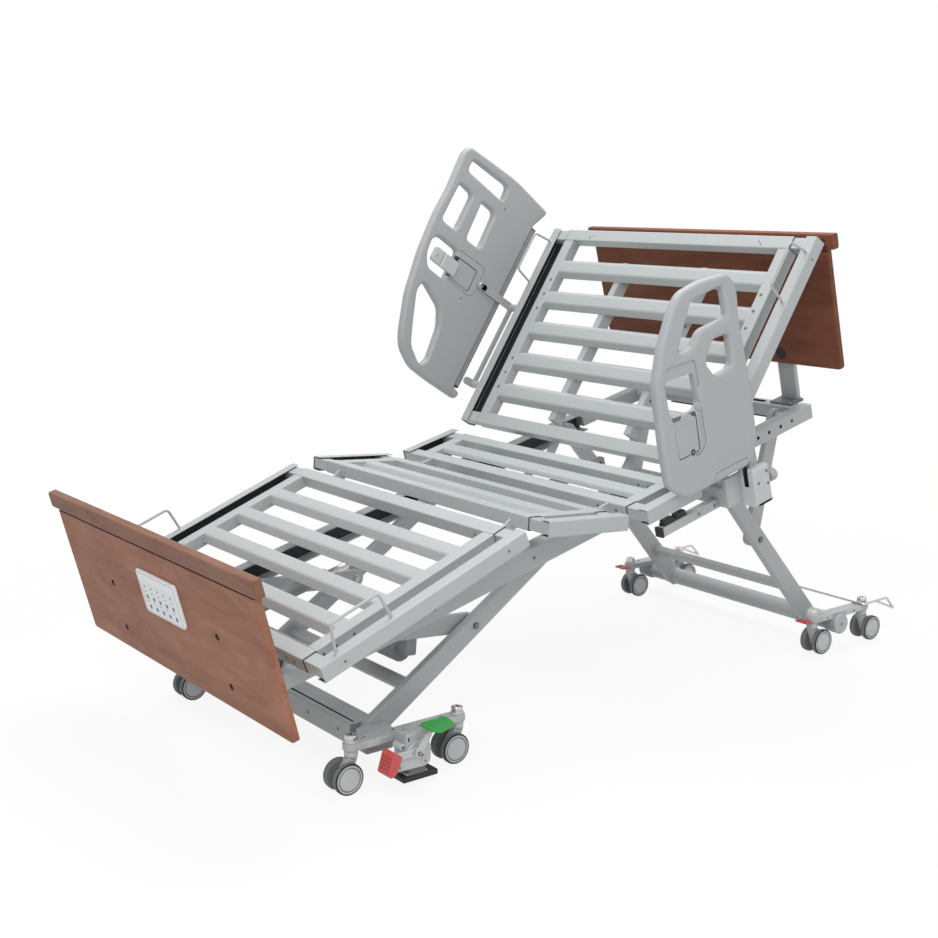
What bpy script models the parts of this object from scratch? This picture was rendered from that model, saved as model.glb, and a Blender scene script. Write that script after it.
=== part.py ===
"""Adjustable hospital bed with a four-section deck, width wings, twin lift linkages,
assist rails, wooden end boards and eight twin-wheel casters.

Blender 4.5, metres, +Z up. +Y points to the head end and +X to the patient's left.
The bed stands in its chair position: frame pitched, back and knees raised.
"""

import math

import bmesh
import bpy
from mathutils import Matrix, Vector

# Driving dimensions.
# Where the bed stands, so that the origin is at the middle of its footprint.
CENTRE_X = -0.0115
CENTRE_Y = 0.1530

# Frame: s runs along the pitched frame towards the head, u is square to it.
FRAME_PITCH = math.radians(14.3)
BEAM_OUT = 0.345
BEAM_WIDTH = 0.040
BEAM_LOW = 0.430
BEAM_TOP = 0.490
BEAM_WALL = 0.004
BEAM_FOOT = -0.600
BEAM_HEAD = 0.800
FRAME_FOOT = -0.790
FRAME_HEAD = 1.112
EXTENSION_LOW = 0.4455
CROSS_S = 0.232
CROSS_WIDTH = 0.030

# Deck sections: lengths of the wings, and the deck's top height on the frame.
DECK_TOP = 0.532
DECK_HALF = 0.5335
SEAT_S = 0.250
SEAT_LENGTH = 0.195
THIGH_LENGTH = 0.2577
FOOT_LENGTH = 0.601
BACK_LENGTH = 0.700
BACK_ANGLE = math.radians(42.74)
THIGH_ANGLE = math.radians(18.76)
KNEE_ANGLE = math.radians(25.54)
BACK_PIVOT = (0.4419, 0.5885)
BACK_START = (0.484, 0.5505)
THIGH_PIVOT = (0.2207, 0.5115)
THIGH_START = (0.1914, 0.5446)
KNEE_PIVOT = (0.2781, -0.055)
FOOT_START = (0.3295, -0.0186)

# Deck members.
SIDE_OUT = 0.458
SIDE_WIDTH = 0.040
TUBE_TOP = -0.0023
TUBE_HEIGHT = 0.0354
TUBE_WALL = 0.0025
CROSS_TUBE = 0.040
SLAT_FLAT = 0.038
SLAT_SKIRT = 0.014
SLAT_DROP = 0.020
SLAT_SHEET = 0.002
WING_HEIGHT = 0.040
WING_FLANGE = 0.034
WING_SHEET = 0.0018
WING_TRAVEL = 0.073
WING_REACH = 0.330
FIT = 0.0003
RETAINER_RADIUS = 0.0035
RETAINER_RISE = 0.069
RETAINER_LENGTH = 0.155
RETAINER_X = 0.520
BACK_RETAINER_INSET = 0.048
FOOT_RETAINER_INSET = 0.052

# Lift linkages: a strut of two arms and a link of one arm, at each end.
ARM = 0.365
STRUT_X = 0.300
STRUT_SHEET = 0.025
STRUT_WIDTH = 0.056
LINK_X = 0.272
LINK_SHEET = 0.020
LINK_WIDTH = 0.044
PIN_RADIUS = 0.008
HEAD_LIFT_S = FRAME_HEAD - 0.0747
HEAD_LIFT_U = 0.468
HEAD_HALF_DROP = 0.325
FOOT_LIFT_S = -0.511
FOOT_LIFT_U = 0.460
FOOT_HALF_DROP = 0.1185

# Bases and casters.
CASTER_X = 0.390
WHEEL_RADIUS = 0.038
WHEEL_WIDTH = 0.018
WHEEL_GAP = 0.024
TRAIL = 0.022
AXLE_RADIUS = 0.005
ARM_LOW = 0.098
ARM_THICK = 0.018
BASE_TUBE_RADIUS = 0.026
HEAD_STEM_REACH = (-0.1001, 0.1319)
FOOT_STEMS = (-0.676, -0.372)
FOOT_BEAM = (-0.605, -0.527)
FOOT_BEAM_HALF = 0.345
FOOT_BEAM_LOW = 0.050

# End boards.
BOARD_THICK = 0.018
CAP_HEIGHT = 0.043
CAP_EXTRA = 0.006
BOARD_HEIGHT = 0.392
FOOTBOARD_S = -0.823
FOOTBOARD_U = 0.424
FOOTBOARD_HALF = 0.525
HEADBOARD_S = FRAME_HEAD - 0.007
HEADBOARD_U = 0.608
HEADBOARD_HALF = 0.473
CAP_SIDE = 0.022
POST_WIDTH = 0.060
HEAD_POST_X = 0.254
FOOT_POST_X = 0.280
FOOT_POST_THICK = 0.005
KEYPAD_X = (-0.0765, 0.1300)
KEYPAD_U = (FOOTBOARD_U + 0.168, FOOTBOARD_U + 0.281)
KEYPAD_THICK = 0.008

# Assist rails.
RAIL_THICK = 0.030
NEAR_RAIL_X = 0.570
FAR_RAIL_X = 0.600
RAIL_ROUND = 0.009

PAINT = (0.60, 0.62, 0.63)
PAINT_DARK = (0.42, 0.44, 0.45)
PLASTIC_GREY = (0.52, 0.54, 0.56)
WOOD = (0.34, 0.14, 0.08)
BLACK = (0.02, 0.02, 0.02)
RED = (0.62, 0.08, 0.07)
GREEN = (0.03, 0.45, 0.08)
WHITE = (0.82, 0.84, 0.85)
CHROME = (0.72, 0.72, 0.72)


# Scene helpers.
def clear_scene():
    for obj in list(bpy.data.objects):
        bpy.data.objects.remove(obj, do_unlink=True)


clear_scene()
BED = bpy.data.collections.new("hospital_bed")
TOOLS = bpy.data.collections.new("cutters")
bpy.context.scene.collection.children.link(BED)
bpy.context.scene.collection.children.link(TOOLS)


def material(name, colour, roughness, metallic=0.0):
    made = bpy.data.materials.new(name)
    made.use_nodes = True
    shader = made.node_tree.nodes["Principled BSDF"]
    shader.inputs["Base Color"].default_value = (*colour, 1.0)
    shader.inputs["Roughness"].default_value = roughness
    shader.inputs["Metallic"].default_value = metallic
    made.diffuse_color = (*colour, 1.0)
    return made


def empty(name, parent=None, location=(0, 0, 0), turn=0.0):
    """An axis carrier: placed on a joint, turned about X."""
    made = bpy.data.objects.new(name, None)
    BED.objects.link(made)
    made.empty_display_size = 0.05
    made.parent = parent
    made.location = location
    made.rotation_euler = (turn, 0.0, 0.0)
    return made


def tool(mesh, name="tool"):
    made = bpy.data.objects.new(name, mesh)
    TOOLS.objects.link(made)
    made.hide_render = True
    made.display_type = "WIRE"
    return made


def from_bmesh(work, name="tool"):
    bmesh.ops.recalc_face_normals(work, faces=work.faces)
    mesh = bpy.data.meshes.new(name)
    work.to_mesh(mesh)
    work.free()
    return tool(mesh, name)


def box(x, y, z, bevel=0.0):
    """A box between the two values of each axis, with rounded edges where bevel is set."""
    work = bmesh.new()
    bmesh.ops.create_cube(work, size=1.0)
    size = Vector((x[1] - x[0], y[1] - y[0], z[1] - z[0]))
    bmesh.ops.scale(work, vec=size, verts=work.verts)
    middle = Vector((x[0] + x[1], y[0] + y[1], z[0] + z[1])) / 2
    bmesh.ops.translate(work, vec=middle, verts=work.verts)
    if bevel:
        bmesh.ops.bevel(work, geom=work.edges[:], offset=bevel, segments=2, affect="EDGES", profile=0.5)
    return from_bmesh(work)


def cylinder(start, end, radius, sides=16, end_radius=None):
    """A round bar, or a cone where end_radius is given, between two points."""
    start, end = Vector(start), Vector(end)
    work = bmesh.new()
    top = radius if end_radius is None else end_radius
    bmesh.ops.create_cone(
        work, cap_ends=True, segments=sides, radius1=radius, radius2=top, depth=(end - start).length
    )
    turn = Vector((0, 0, 1)).rotation_difference(end - start).to_matrix().to_4x4()
    bmesh.ops.transform(work, matrix=Matrix.Translation((start + end) / 2) @ turn, verts=work.verts)
    return from_bmesh(work)


def curve_mesh(curve):
    """The curve's evaluated mesh, with its caps joined to its sides."""
    guide = bpy.data.objects.new("guide", curve)
    TOOLS.objects.link(guide)
    graph = bpy.context.evaluated_depsgraph_get()
    mesh = bpy.data.meshes.new_from_object(guide.evaluated_get(graph))
    bpy.data.objects.remove(guide, do_unlink=True)
    work = bmesh.new()
    work.from_mesh(mesh)
    bmesh.ops.remove_doubles(work, verts=work.verts, dist=0.00001)
    return work


def plate(outlines, axis, start, end, edge=0.0):
    """Flat outlines (the first is the outside, the rest are holes) extruded along an axis.

    Axis X takes points as (y, z), axis Y as (x, z) and axis Z as (x, y).
    """
    curve = bpy.data.curves.new("outline", "CURVE")
    curve.dimensions = "2D"
    curve.fill_mode = "BOTH"
    for points in outlines:
        spline = curve.splines.new("POLY")
        spline.points.add(len(points) - 1)
        for point, (a, b) in zip(spline.points, points):
            point.co = (a, b, 0, 1)
        spline.use_cyclic_u = True
    curve.extrude = (end - start) / 2 - edge
    if edge:
        curve.bevel_depth = edge
        curve.bevel_resolution = 1
        curve.offset = -edge
    work = curve_mesh(curve)
    turns = {
        "X": Matrix(((0, 0, 1), (1, 0, 0), (0, 1, 0))),
        "Y": Matrix(((1, 0, 0), (0, 0, -1), (0, 1, 0))),
        "Z": Matrix.Identity(3),
    }
    bmesh.ops.transform(work, matrix=turns[axis].to_4x4(), verts=work.verts)
    middle = (start + end) / 2
    shift = {"X": (middle, 0, 0), "Y": (0, middle, 0), "Z": (0, 0, middle)}[axis]
    bmesh.ops.translate(work, vec=Vector(shift), verts=work.verts)
    return from_bmesh(work)


def wire(points, radius, resolution=1):
    """A bent round bar through the points."""
    curve = bpy.data.curves.new("wire", "CURVE")
    curve.dimensions = "3D"
    spline = curve.splines.new("POLY")
    spline.points.add(len(points) - 1)
    for point, place in zip(spline.points, points):
        point.co = (*place, 1)
    curve.bevel_depth = radius
    curve.bevel_resolution = resolution
    curve.use_fill_caps = True
    return from_bmesh(curve_mesh(curve))


def rounded(points, radius, steps=3):
    """The outline with each corner rounded; radius is one value or one for each corner."""
    found = []
    count = len(points)
    for i, point in enumerate(points):
        here = Vector(point)
        before = Vector(points[i - 1]) - here
        after = Vector(points[(i + 1) % count]) - here
        size = radius[i] if isinstance(radius, (list, tuple)) else radius
        size = min(size, 0.45 * before.length, 0.45 * after.length)
        if size <= 0:
            found.append(tuple(here))
            continue
        first = here + before.normalized() * size
        last = here + after.normalized() * size
        for k in range(steps + 1):
            f = k / steps
            found.append(tuple(first * (1 - f) ** 2 + here * 2 * f * (1 - f) + last * f * f))
    return found


def bent(points, radius, steps=4):
    """An open 3D path with its inner corners rounded."""
    found = [tuple(points[0])]
    for i in range(1, len(points) - 1):
        here = Vector(points[i])
        before = Vector(points[i - 1]) - here
        after = Vector(points[i + 1]) - here
        first = here + before.normalized() * radius
        last = here + after.normalized() * radius
        for k in range(steps + 1):
            f = k / steps
            found.append(tuple(first * (1 - f) ** 2 + here * 2 * f * (1 - f) + last * f * f))
    found.append(tuple(points[-1]))
    return found


def circle(middle, radius, sides=16):
    return [
        (
            middle[0] + radius * math.cos(2 * math.pi * k / sides),
            middle[1] + radius * math.sin(2 * math.pi * k / sides),
        )
        for k in range(sides)
    ]


def mirrored(points):
    return [(-a, b) for a, b in reversed(points)]


def boolean(base, others, operation):
    """Joins or cuts all the others at once, and returns the outcome as a new tool."""
    group = bpy.data.collections.new("operands")
    bpy.context.scene.collection.children.link(group)
    for other in others:
        group.objects.link(other)
    step = base.modifiers.new(operation.lower(), "BOOLEAN")
    step.operation = operation
    step.solver = "EXACT"
    step.operand_type = "COLLECTION"
    step.collection = group
    graph = bpy.context.evaluated_depsgraph_get()
    mesh = bpy.data.meshes.new_from_object(base.evaluated_get(graph))
    for other in [base, *others]:
        bpy.data.objects.remove(other, do_unlink=True)
    bpy.data.collections.remove(group)
    return tool(mesh)


def part(name, pieces, finish, parent, at=(0, 0, 0), cuts=()):
    """One named solid: the pieces joined, the cuts taken out, under the carrier on its axis."""
    solid = pieces[0]
    if len(pieces) > 1:
        solid = boolean(solid, pieces[1:], "UNION")
    if cuts:
        solid = boolean(solid, list(cuts), "DIFFERENCE")
    mesh = solid.data
    bpy.data.objects.remove(solid, do_unlink=True)
    mesh.name = name
    mesh.materials.clear()
    mesh.materials.append(finish)
    mesh.shade_smooth()
    mesh.set_sharp_from_angle(angle=math.radians(35))
    made = bpy.data.objects.new(name, mesh)
    BED.objects.link(made)
    made.parent = parent
    made.location = at
    return made


def world(s, u):
    """The (y, z) place of a frame point."""
    return (
        s * math.cos(FRAME_PITCH) - u * math.sin(FRAME_PITCH),
        s * math.sin(FRAME_PITCH) + u * math.cos(FRAME_PITCH),
    )


def span(run, start, end):
    """A stretch of a deck section as a sorted pair along Y."""
    return tuple(sorted((run * start, run * end)))


def both(make):
    """The same piece made on the left and on the right."""
    return [make(1), make(-1)]


def across(side, inner, outer):
    return tuple(sorted((side * inner, side * outer)))


steel = material("painted_steel", PAINT, 0.45)
steel_dark = material("painted_steel_dark", PAINT_DARK, 0.5)
rail_plastic = material("rail_plastic", PLASTIC_GREY, 0.5)
wood = material("wood_laminate", WOOD, 0.4)
black = material("black_plastic", BLACK, 0.6)
tyre = material("tyre", (0.12, 0.12, 0.13), 0.6)
red = material("red_plastic", RED, 0.45)
green = material("green_plastic", GREEN, 0.45)
white = material("pad_plastic", WHITE, 0.4)
chrome = material("chrome_steel", CHROME, 0.25, 1.0)

bed = empty("bed_origin", location=(-CENTRE_X, -CENTRE_Y, 0))
frame = empty("pitched_frame", bed, turn=FRAME_PITCH)

# Axes of the deck.
back_axis = empty("backrest_axis", frame, (0, *BACK_PIVOT), BACK_ANGLE)
lift = Vector((BACK_START[0] - BACK_PIVOT[0], BACK_START[1] - BACK_PIVOT[1]))
BACK_AT = (
    0,
    lift.x * math.cos(BACK_ANGLE) + lift.y * math.sin(BACK_ANGLE),
    -lift.x * math.sin(BACK_ANGLE) + lift.y * math.cos(BACK_ANGLE),
)
thigh_axis = empty("thigh_axis", frame, (0, *THIGH_PIVOT), -THIGH_ANGLE)
lift = Vector((THIGH_PIVOT[0] - THIGH_START[0], THIGH_START[1] - THIGH_PIVOT[1]))
THIGH_T = lift.x * math.cos(THIGH_ANGLE) + lift.y * math.sin(THIGH_ANGLE)
THIGH_W = -lift.x * math.sin(THIGH_ANGLE) + lift.y * math.cos(THIGH_ANGLE)
THIGH_AT = (0, -THIGH_T, THIGH_W)
knee_axis = empty(
    "knee_axis", thigh_axis, (0, -THIGH_T - KNEE_PIVOT[0], THIGH_W + KNEE_PIVOT[1]), KNEE_ANGLE
)
lift = Vector((FOOT_START[0] - KNEE_PIVOT[0], FOOT_START[1] - KNEE_PIVOT[1]))
FOOT_T = lift.x * math.cos(KNEE_ANGLE) - lift.y * math.sin(KNEE_ANGLE)
FOOT_W = lift.x * math.sin(KNEE_ANGLE) + lift.y * math.cos(KNEE_ANGLE)
FOOT_AT = (0, -FOOT_T, FOOT_W)
SEAT_AT = (0, SEAT_S, DECK_TOP)

# Where each section's cross tubes and slats stand along it.
BACK_TUBES = (0.0, BACK_LENGTH - CROSS_TUBE)
BACK_SLATS = tuple(BACK_LENGTH * share for share in (0.1743, 0.3329, 0.4914, 0.6486, 0.8086))
SEAT_TUBES = (0.0, 0.148)
THIGH_TUBES = (0.004, THIGH_LENGTH - CROSS_TUBE)
THIGH_SLATS = (0.130,)
FOOT_TUBES = (0.0, FOOT_LENGTH - CROSS_TUBE)
FOOT_SLATS = tuple(FOOT_LENGTH * share for share in (0.2163, 0.4010, 0.5874, 0.7720))


# Deck parts.
def slat(run, middle, drop):
    """A folded slat, open below, across the section."""
    half = SLAT_FLAT / 2
    skirt = SLAT_SKIRT * drop / SLAT_DROP
    top = -0.004
    outline = [
        (-half - skirt, top - drop),
        (-half, top),
        (half, top),
        (half + skirt, top - drop),
        (half + skirt - 0.0024, top - drop),
        (half - 0.001, top - SLAT_SHEET),
        (-half + 0.001, top - SLAT_SHEET),
        (-half - skirt + 0.0024, top - drop),
    ]
    place = run * middle
    inside = SIDE_OUT - SIDE_WIDTH + 0.006
    return plate([[(y + place, z) for y, z in outline]], "X", -inside, inside)


def deck_frame(run, length, tubes, slats, drop=SLAT_DROP):
    """Side bars, open cross tubes and slats, and the cutters that open the tubes."""
    low, top = TUBE_TOP - TUBE_HEIGHT, TUBE_TOP
    pieces = both(
        lambda side: box(
            across(side, SIDE_OUT - SIDE_WIDTH, SIDE_OUT),
            span(run, 0.001, length - 0.001),
            (low + 0.0004, top - 0.0007),
        )
    )
    cuts = []
    half = SIDE_OUT + 0.0004
    for start in tubes:
        pieces.append(box((-half, half), span(run, start, start + CROSS_TUBE), (low, top)))
        cuts.append(
            box(
                (-half - 0.02, half + 0.02),
                span(run, start + TUBE_WALL, start + CROSS_TUBE - TUBE_WALL),
                (low + TUBE_WALL, top - TUBE_WALL),
            )
        )
    for middle in slats:
        pieces.append(slat(run, middle, drop))
    return pieces, cuts


def wing(name, side, run, length, tubes, parent, at, retainer=None):
    """A C-channel that widens the deck, on bars that slide in the cross tubes."""
    inner, outer = DECK_HALF - WING_FLANGE, DECK_HALF
    outline = [
        (inner, 0.0),
        (outer, 0.0),
        (outer, -WING_HEIGHT),
        (inner, -WING_HEIGHT),
        (inner, -WING_HEIGHT + WING_SHEET),
        (outer - WING_SHEET, -WING_HEIGHT + WING_SHEET),
        (outer - WING_SHEET, -WING_SHEET),
        (inner, -WING_SHEET),
    ]
    if side < 0:
        outline = mirrored(outline)
    pieces = [plate([outline], "Y", *span(run, 0.0, length))]
    inset = TUBE_WALL + FIT
    for start in tubes:
        pieces.append(
            box(
                across(side, WING_REACH, outer - WING_SHEET + 0.001),
                span(run, start + inset, start + CROSS_TUBE - inset),
                (TUBE_TOP - TUBE_HEIGHT + inset, TUBE_TOP - inset),
            )
        )
    if retainer:
        x = side * RETAINER_X
        last = run * (length - retainer)
        first = run * (length - retainer - RETAINER_LENGTH)
        lean = run * 0.012
        path = [(x, first, -0.001), (x, first + lean, RETAINER_RISE)]
        path += [(x, last - lean, RETAINER_RISE), (x, last, -0.001)]
        pieces.append(wire(bent(path, 0.010), RETAINER_RADIUS))
    part(name, pieces, steel, parent, at)


def ring(middle, inner, outer, start, end, steps=14):
    """An arc band as an outline, angles in degrees."""
    angles = [math.radians(start + (end - start) * k / steps) for k in range(steps + 1)]
    out = [(middle[0] + outer * math.cos(a), middle[1] + outer * math.sin(a)) for a in angles]
    back = [(middle[0] + inner * math.cos(a), middle[1] + inner * math.sin(a)) for a in angles]
    return out + back[::-1]


def stadium(start, end, first, last, steps=8):
    """Two round ends of their own radii joined by straight sides."""
    direction = Vector(end) - Vector(start)
    heading = math.atan2(direction.y, direction.x)
    lean = math.acos((first - last) / direction.length)
    found = []
    for k in range(steps + 1):
        a = heading - lean + 2 * lean * k / steps
        found.append((end[0] + last * math.cos(a), end[1] + last * math.sin(a)))
    for k in range(steps + 1):
        a = heading + lean + 2 * (math.pi - lean) * k / steps
        found.append((start[0] + first * math.cos(a), start[1] + first * math.sin(a)))
    return found


# Backrest.
UNDER_BAR_X = 0.162
ARC_RADII = (0.126, 0.150)
ARC_SHEET = 0.012
pieces, cuts = deck_frame(1, BACK_LENGTH, BACK_TUBES, BACK_SLATS)
part("backrest_frame", pieces, steel, back_axis, BACK_AT, cuts)

# Carrier under the backrest: two bars on the arcs that it tilts on, and their tie.
CARRIER_W = (-0.065, -0.004 - SLAT_DROP - FIT)
pieces = [box((-0.160, 0.160), (BACK_LENGTH - 0.090, BACK_LENGTH - 0.066), (-0.060, -0.041))]
arc_middle = (-BACK_AT[1], -BACK_AT[2])
for side in (1, -1):
    bar = across(side, UNDER_BAR_X - 0.012, UNDER_BAR_X + 0.012)
    pieces.append(box(bar, (0.062, BACK_LENGTH - 0.060), CARRIER_W))
    ends = sorted((side * (UNDER_BAR_X - ARC_SHEET / 2), side * (UNDER_BAR_X + ARC_SHEET / 2)))
    pieces.append(plate([ring(arc_middle, *ARC_RADII, -142.7, -56)], "X", *ends))
part("backrest_carrier", pieces, steel, back_axis, BACK_AT)

# Seat, with its carriage on the side beams, thigh ears and arc guides.
pieces, cuts = deck_frame(1, SEAT_LENGTH - 0.004, SEAT_TUBES, (0.094,), 0.012)
drop = DECK_TOP - BEAM_TOP
for side in (1, -1):
    shoe = across(side, 0.303, 0.353)
    pieces.append(box(shoe, (0.002, SEAT_LENGTH - 0.006), (-drop + 0.0005, -drop + 0.012)))
    lip = across(side, BEAM_OUT + 0.0005, 0.353)
    pieces.append(box(lip, (0.004, SEAT_LENGTH - 0.008), (-drop - 0.0035, -drop + 0.010)))
    pivot = (THIGH_PIVOT[0] - SEAT_S, THIGH_PIVOT[1] - DECK_TOP)
    ear = stadium((0.030, -0.020), pivot, 0.0165, 0.015)
    ends = sorted((side * 0.384, side * 0.392))
    pieces.append(plate([ear], "X", *ends))
    pieces.append(cylinder((side * 0.386, *pivot), (side * 0.404, *pivot), PIN_RADIUS))
    middle = (BACK_PIVOT[0] - SEAT_S, BACK_PIVOT[1] - DECK_TOP)
    heading = math.radians(-73.5)
    for radius in (ARC_RADII[0] - 0.0063, ARC_RADII[1] + 0.0063):
        place = (middle[0] + radius * math.cos(heading), middle[1] + radius * math.sin(heading))
        ends = [(side * (UNDER_BAR_X + d), *place) for d in (-0.010, 0.010)]
        pieces.append(cylinder(*ends, 0.006, 12))
    cheek = [(0.150, -0.030), (0.179, -0.030), (0.186, -0.0440), (0.238, -0.0485), (0.244, -0.100)]
    cheek.append((0.226, -0.104))
    for gap in (-0.0115, 0.0065):
        ends = sorted((side * (UNDER_BAR_X + gap), side * (UNDER_BAR_X + gap + 0.005)))
        pieces.append(plate([rounded(cheek, 0.006)], "X", *ends))
part("seat_frame", pieces, steel, frame, SEAT_AT, cuts)


# Thigh and foot sections with their knee ears.
def ears(x, start, end, radius):
    return both(lambda side: plate([stadium(start, end, radius, 0.0145)], "X", *across(side, *x)))


pieces, cuts = deck_frame(-1, THIGH_LENGTH, THIGH_TUBES, THIGH_SLATS)
hip = (THIGH_T, -THIGH_W)
knee = (-KNEE_PIVOT[0], KNEE_PIVOT[1])
pieces += ears((0.394, 0.402), (-0.024, -0.020), hip, 0.016)
pieces += ears((0.384, 0.392), (-THIGH_LENGTH + 0.020, -0.022), knee, 0.0165)
pieces += both(
    lambda side: cylinder((side * 0.386, *knee), (side * 0.404, *knee), PIN_RADIUS)
)
cuts.append(cylinder((-0.41, *hip), (-0.39, *hip), PIN_RADIUS + FIT))
cuts.append(cylinder((0.39, *hip), (0.41, *hip), PIN_RADIUS + FIT))
part("thigh_frame", pieces, steel, thigh_axis, THIGH_AT, cuts)

pieces, cuts = deck_frame(-1, FOOT_LENGTH, FOOT_TUBES, FOOT_SLATS)
knee = (FOOT_T, -FOOT_W)
pieces += ears((0.394, 0.402), (-0.020, -0.022), knee, 0.0165)
cuts.append(cylinder((-0.41, *knee), (-0.39, *knee), PIN_RADIUS + FIT))
cuts.append(cylinder((0.39, *knee), (0.41, *knee), PIN_RADIUS + FIT))
part("foot_frame", pieces, steel, knee_axis, FOOT_AT, cuts)

for side, word in ((1, "left"), (-1, "right")):
    wing(f"backrest_wing_{word}", side, 1, BACK_LENGTH, BACK_TUBES, back_axis, BACK_AT, BACK_RETAINER_INSET)
    wing(f"seat_wing_{word}", side, 1, SEAT_LENGTH, SEAT_TUBES, frame, SEAT_AT)
    wing(f"thigh_wing_{word}", side, -1, THIGH_LENGTH, THIGH_TUBES, thigh_axis, THIGH_AT)
    wing(f"foot_wing_{word}", side, -1, FOOT_LENGTH, FOOT_TUBES, knee_axis, FOOT_AT, FOOT_RETAINER_INSET)

# Main frame.
head_pin = (HEAD_LIFT_S, HEAD_LIFT_U)
foot_pin = (FOOT_LIFT_S, FOOT_LIFT_U)
channel_in = BEAM_OUT - BEAM_WIDTH
pieces = []
for side in (1, -1):
    outline = [
        (channel_in, BEAM_TOP),
        (BEAM_OUT, BEAM_TOP),
        (BEAM_OUT, BEAM_LOW),
        (channel_in, BEAM_LOW),
        (channel_in, BEAM_LOW + BEAM_WALL),
        (BEAM_OUT - BEAM_WALL, BEAM_LOW + BEAM_WALL),
        (BEAM_OUT - BEAM_WALL, BEAM_TOP - BEAM_WALL),
        (channel_in, BEAM_TOP - BEAM_WALL),
    ]
    if side < 0:
        outline = mirrored(outline)
    pieces.append(plate([outline], "Y", BEAM_FOOT, BEAM_HEAD))
    ends = across(side, channel_in + 0.002, BEAM_OUT - 0.0006)
    pieces.append(box(ends, (BEAM_HEAD - 0.012, FRAME_HEAD), (EXTENSION_LOW, BEAM_TOP - 0.0006)))
    pieces.append(box(ends, (FRAME_FOOT, BEAM_FOOT + 0.012), (0.449, BEAM_TOP - 0.0006)))
    for pin in (head_pin, foot_pin):
        pieces.append(cylinder((side * 0.343, *pin), (side * 0.2485, *pin), PIN_RADIUS))
        pieces.append(cylinder((side * 0.3425, *pin), (side * (LINK_X + 0.002), *pin), 0.014))
    post = across(side, HEAD_POST_X - POST_WIDTH / 2, HEAD_POST_X + POST_WIDTH / 2)
    behind = HEADBOARD_S + BOARD_THICK + FIT
    pieces.append(box(post, (behind, behind + 0.015), (0.487, 0.800), 0.002))
    foot = across(side, HEAD_POST_X - 0.040, HEAD_POST_X + 0.040)
    pieces.append(box(foot, (FRAME_HEAD - 0.0315, behind + 0.0147), (0.4835, 0.4930)))
    post = across(side, FOOT_POST_X - POST_WIDTH / 2, FOOT_POST_X + POST_WIDTH / 2)
    inner = FOOTBOARD_S + BOARD_THICK + FIT
    pieces.append(box(post, (inner, inner + FOOT_POST_THICK), (0.455, 0.650), 0.001))
    pieces.append(box(post, (inner + 0.001, FRAME_FOOT + 0.030), (0.456, 0.483)))
pieces.append(box((-0.3425, 0.3425), (CROSS_S, CROSS_S + CROSS_WIDTH), (0.436, 0.483)))
pieces.append(box((-0.330, 0.330), (FRAME_HEAD - 0.043, FRAME_HEAD - 0.004), (0.4475, 0.4865)))
pieces.append(box((-0.330, 0.330), (BEAM_FOOT - 0.042, BEAM_FOOT - 0.004), (0.4515, 0.4865)))
pieces.append(box((-0.330, 0.330), (FRAME_FOOT + 0.004, FRAME_FOOT + 0.040), (0.4515, 0.4865)))
pieces.append(box((0.3425, 0.489), (0.520, 0.560), (0.435, 0.451)))
cuts = [box((-0.190, 0.190), (FRAME_HEAD - 0.031, FRAME_HEAD - 0.017), (0.460, 0.500))]
for inset in (0.238, 0.191, 0.141, 0.092):
    s = FRAME_HEAD - inset
    for side in (1, -1):
        cuts.append(cylinder((side * 0.35, s, 0.469), (side * 0.335, s, 0.469), 0.005, 8))
part("main_frame", pieces, steel, frame, cuts=cuts)


# End boards.
def board(name, s, low, half, outward):
    """A panel with a thicker cap; outward is the side of its outer face."""
    top = low + BOARD_HEIGHT
    inner, outer = (s, s + BOARD_THICK) if outward > 0 else (s + BOARD_THICK, s)
    panel = rounded([(-half, low), (half, low), (half, top - 0.01), (-half, top - 0.01)], 0.012)
    cap = [(half + CAP_SIDE, top), (-half - CAP_SIDE, top)]
    cap += [(-half - CAP_SIDE, top - CAP_HEIGHT), (half + CAP_SIDE, top - CAP_HEIGHT)]
    ends = sorted((inner, outer))
    cap_ends = sorted((inner + outward * 0.0004, outer + outward * CAP_EXTRA))
    pieces = [plate([panel], "Y", *ends)]
    pieces.append(plate([rounded(cap, 0.008)], "Y", *cap_ends))
    cuts = []
    if outward < 0:
        for side in (1, -1):
            for u in (0.614, 0.488):
                x = side * FOOT_POST_X
                cuts.append(cylinder((x, outer - 0.01, u), (x, outer + 0.008, u), 0.0085, 14))
    part(name, pieces, wood, frame, cuts=cuts)


board("footboard_panel", FOOTBOARD_S, FOOTBOARD_U, FOOTBOARD_HALF, -1)
board("headboard_panel", HEADBOARD_S, HEADBOARD_U, HEADBOARD_HALF, 1)
(left, right), (low, top) = KEYPAD_X, KEYPAD_U
keypad = rounded([(left, low), (right, low), (right, top), (left, top)], 0.012)
part(
    "board_keypad",
    [plate([keypad], "Y", FOOTBOARD_S - FIT - KEYPAD_THICK, FOOTBOARD_S - FIT)],
    white,
    frame,
)

# Accessory rail and the near assist rail's post.
ACCESSORY = ((0.4893, 0.5150), (0.304, 0.587), (0.430, 0.456))
pieces = [box(*ACCESSORY, 0.002)]
pieces.append(box((0.4925, 0.5118), (0.309, 0.400), (0.4545, 0.4715), 0.003))
part("accessory_rail", pieces, steel, frame)

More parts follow.
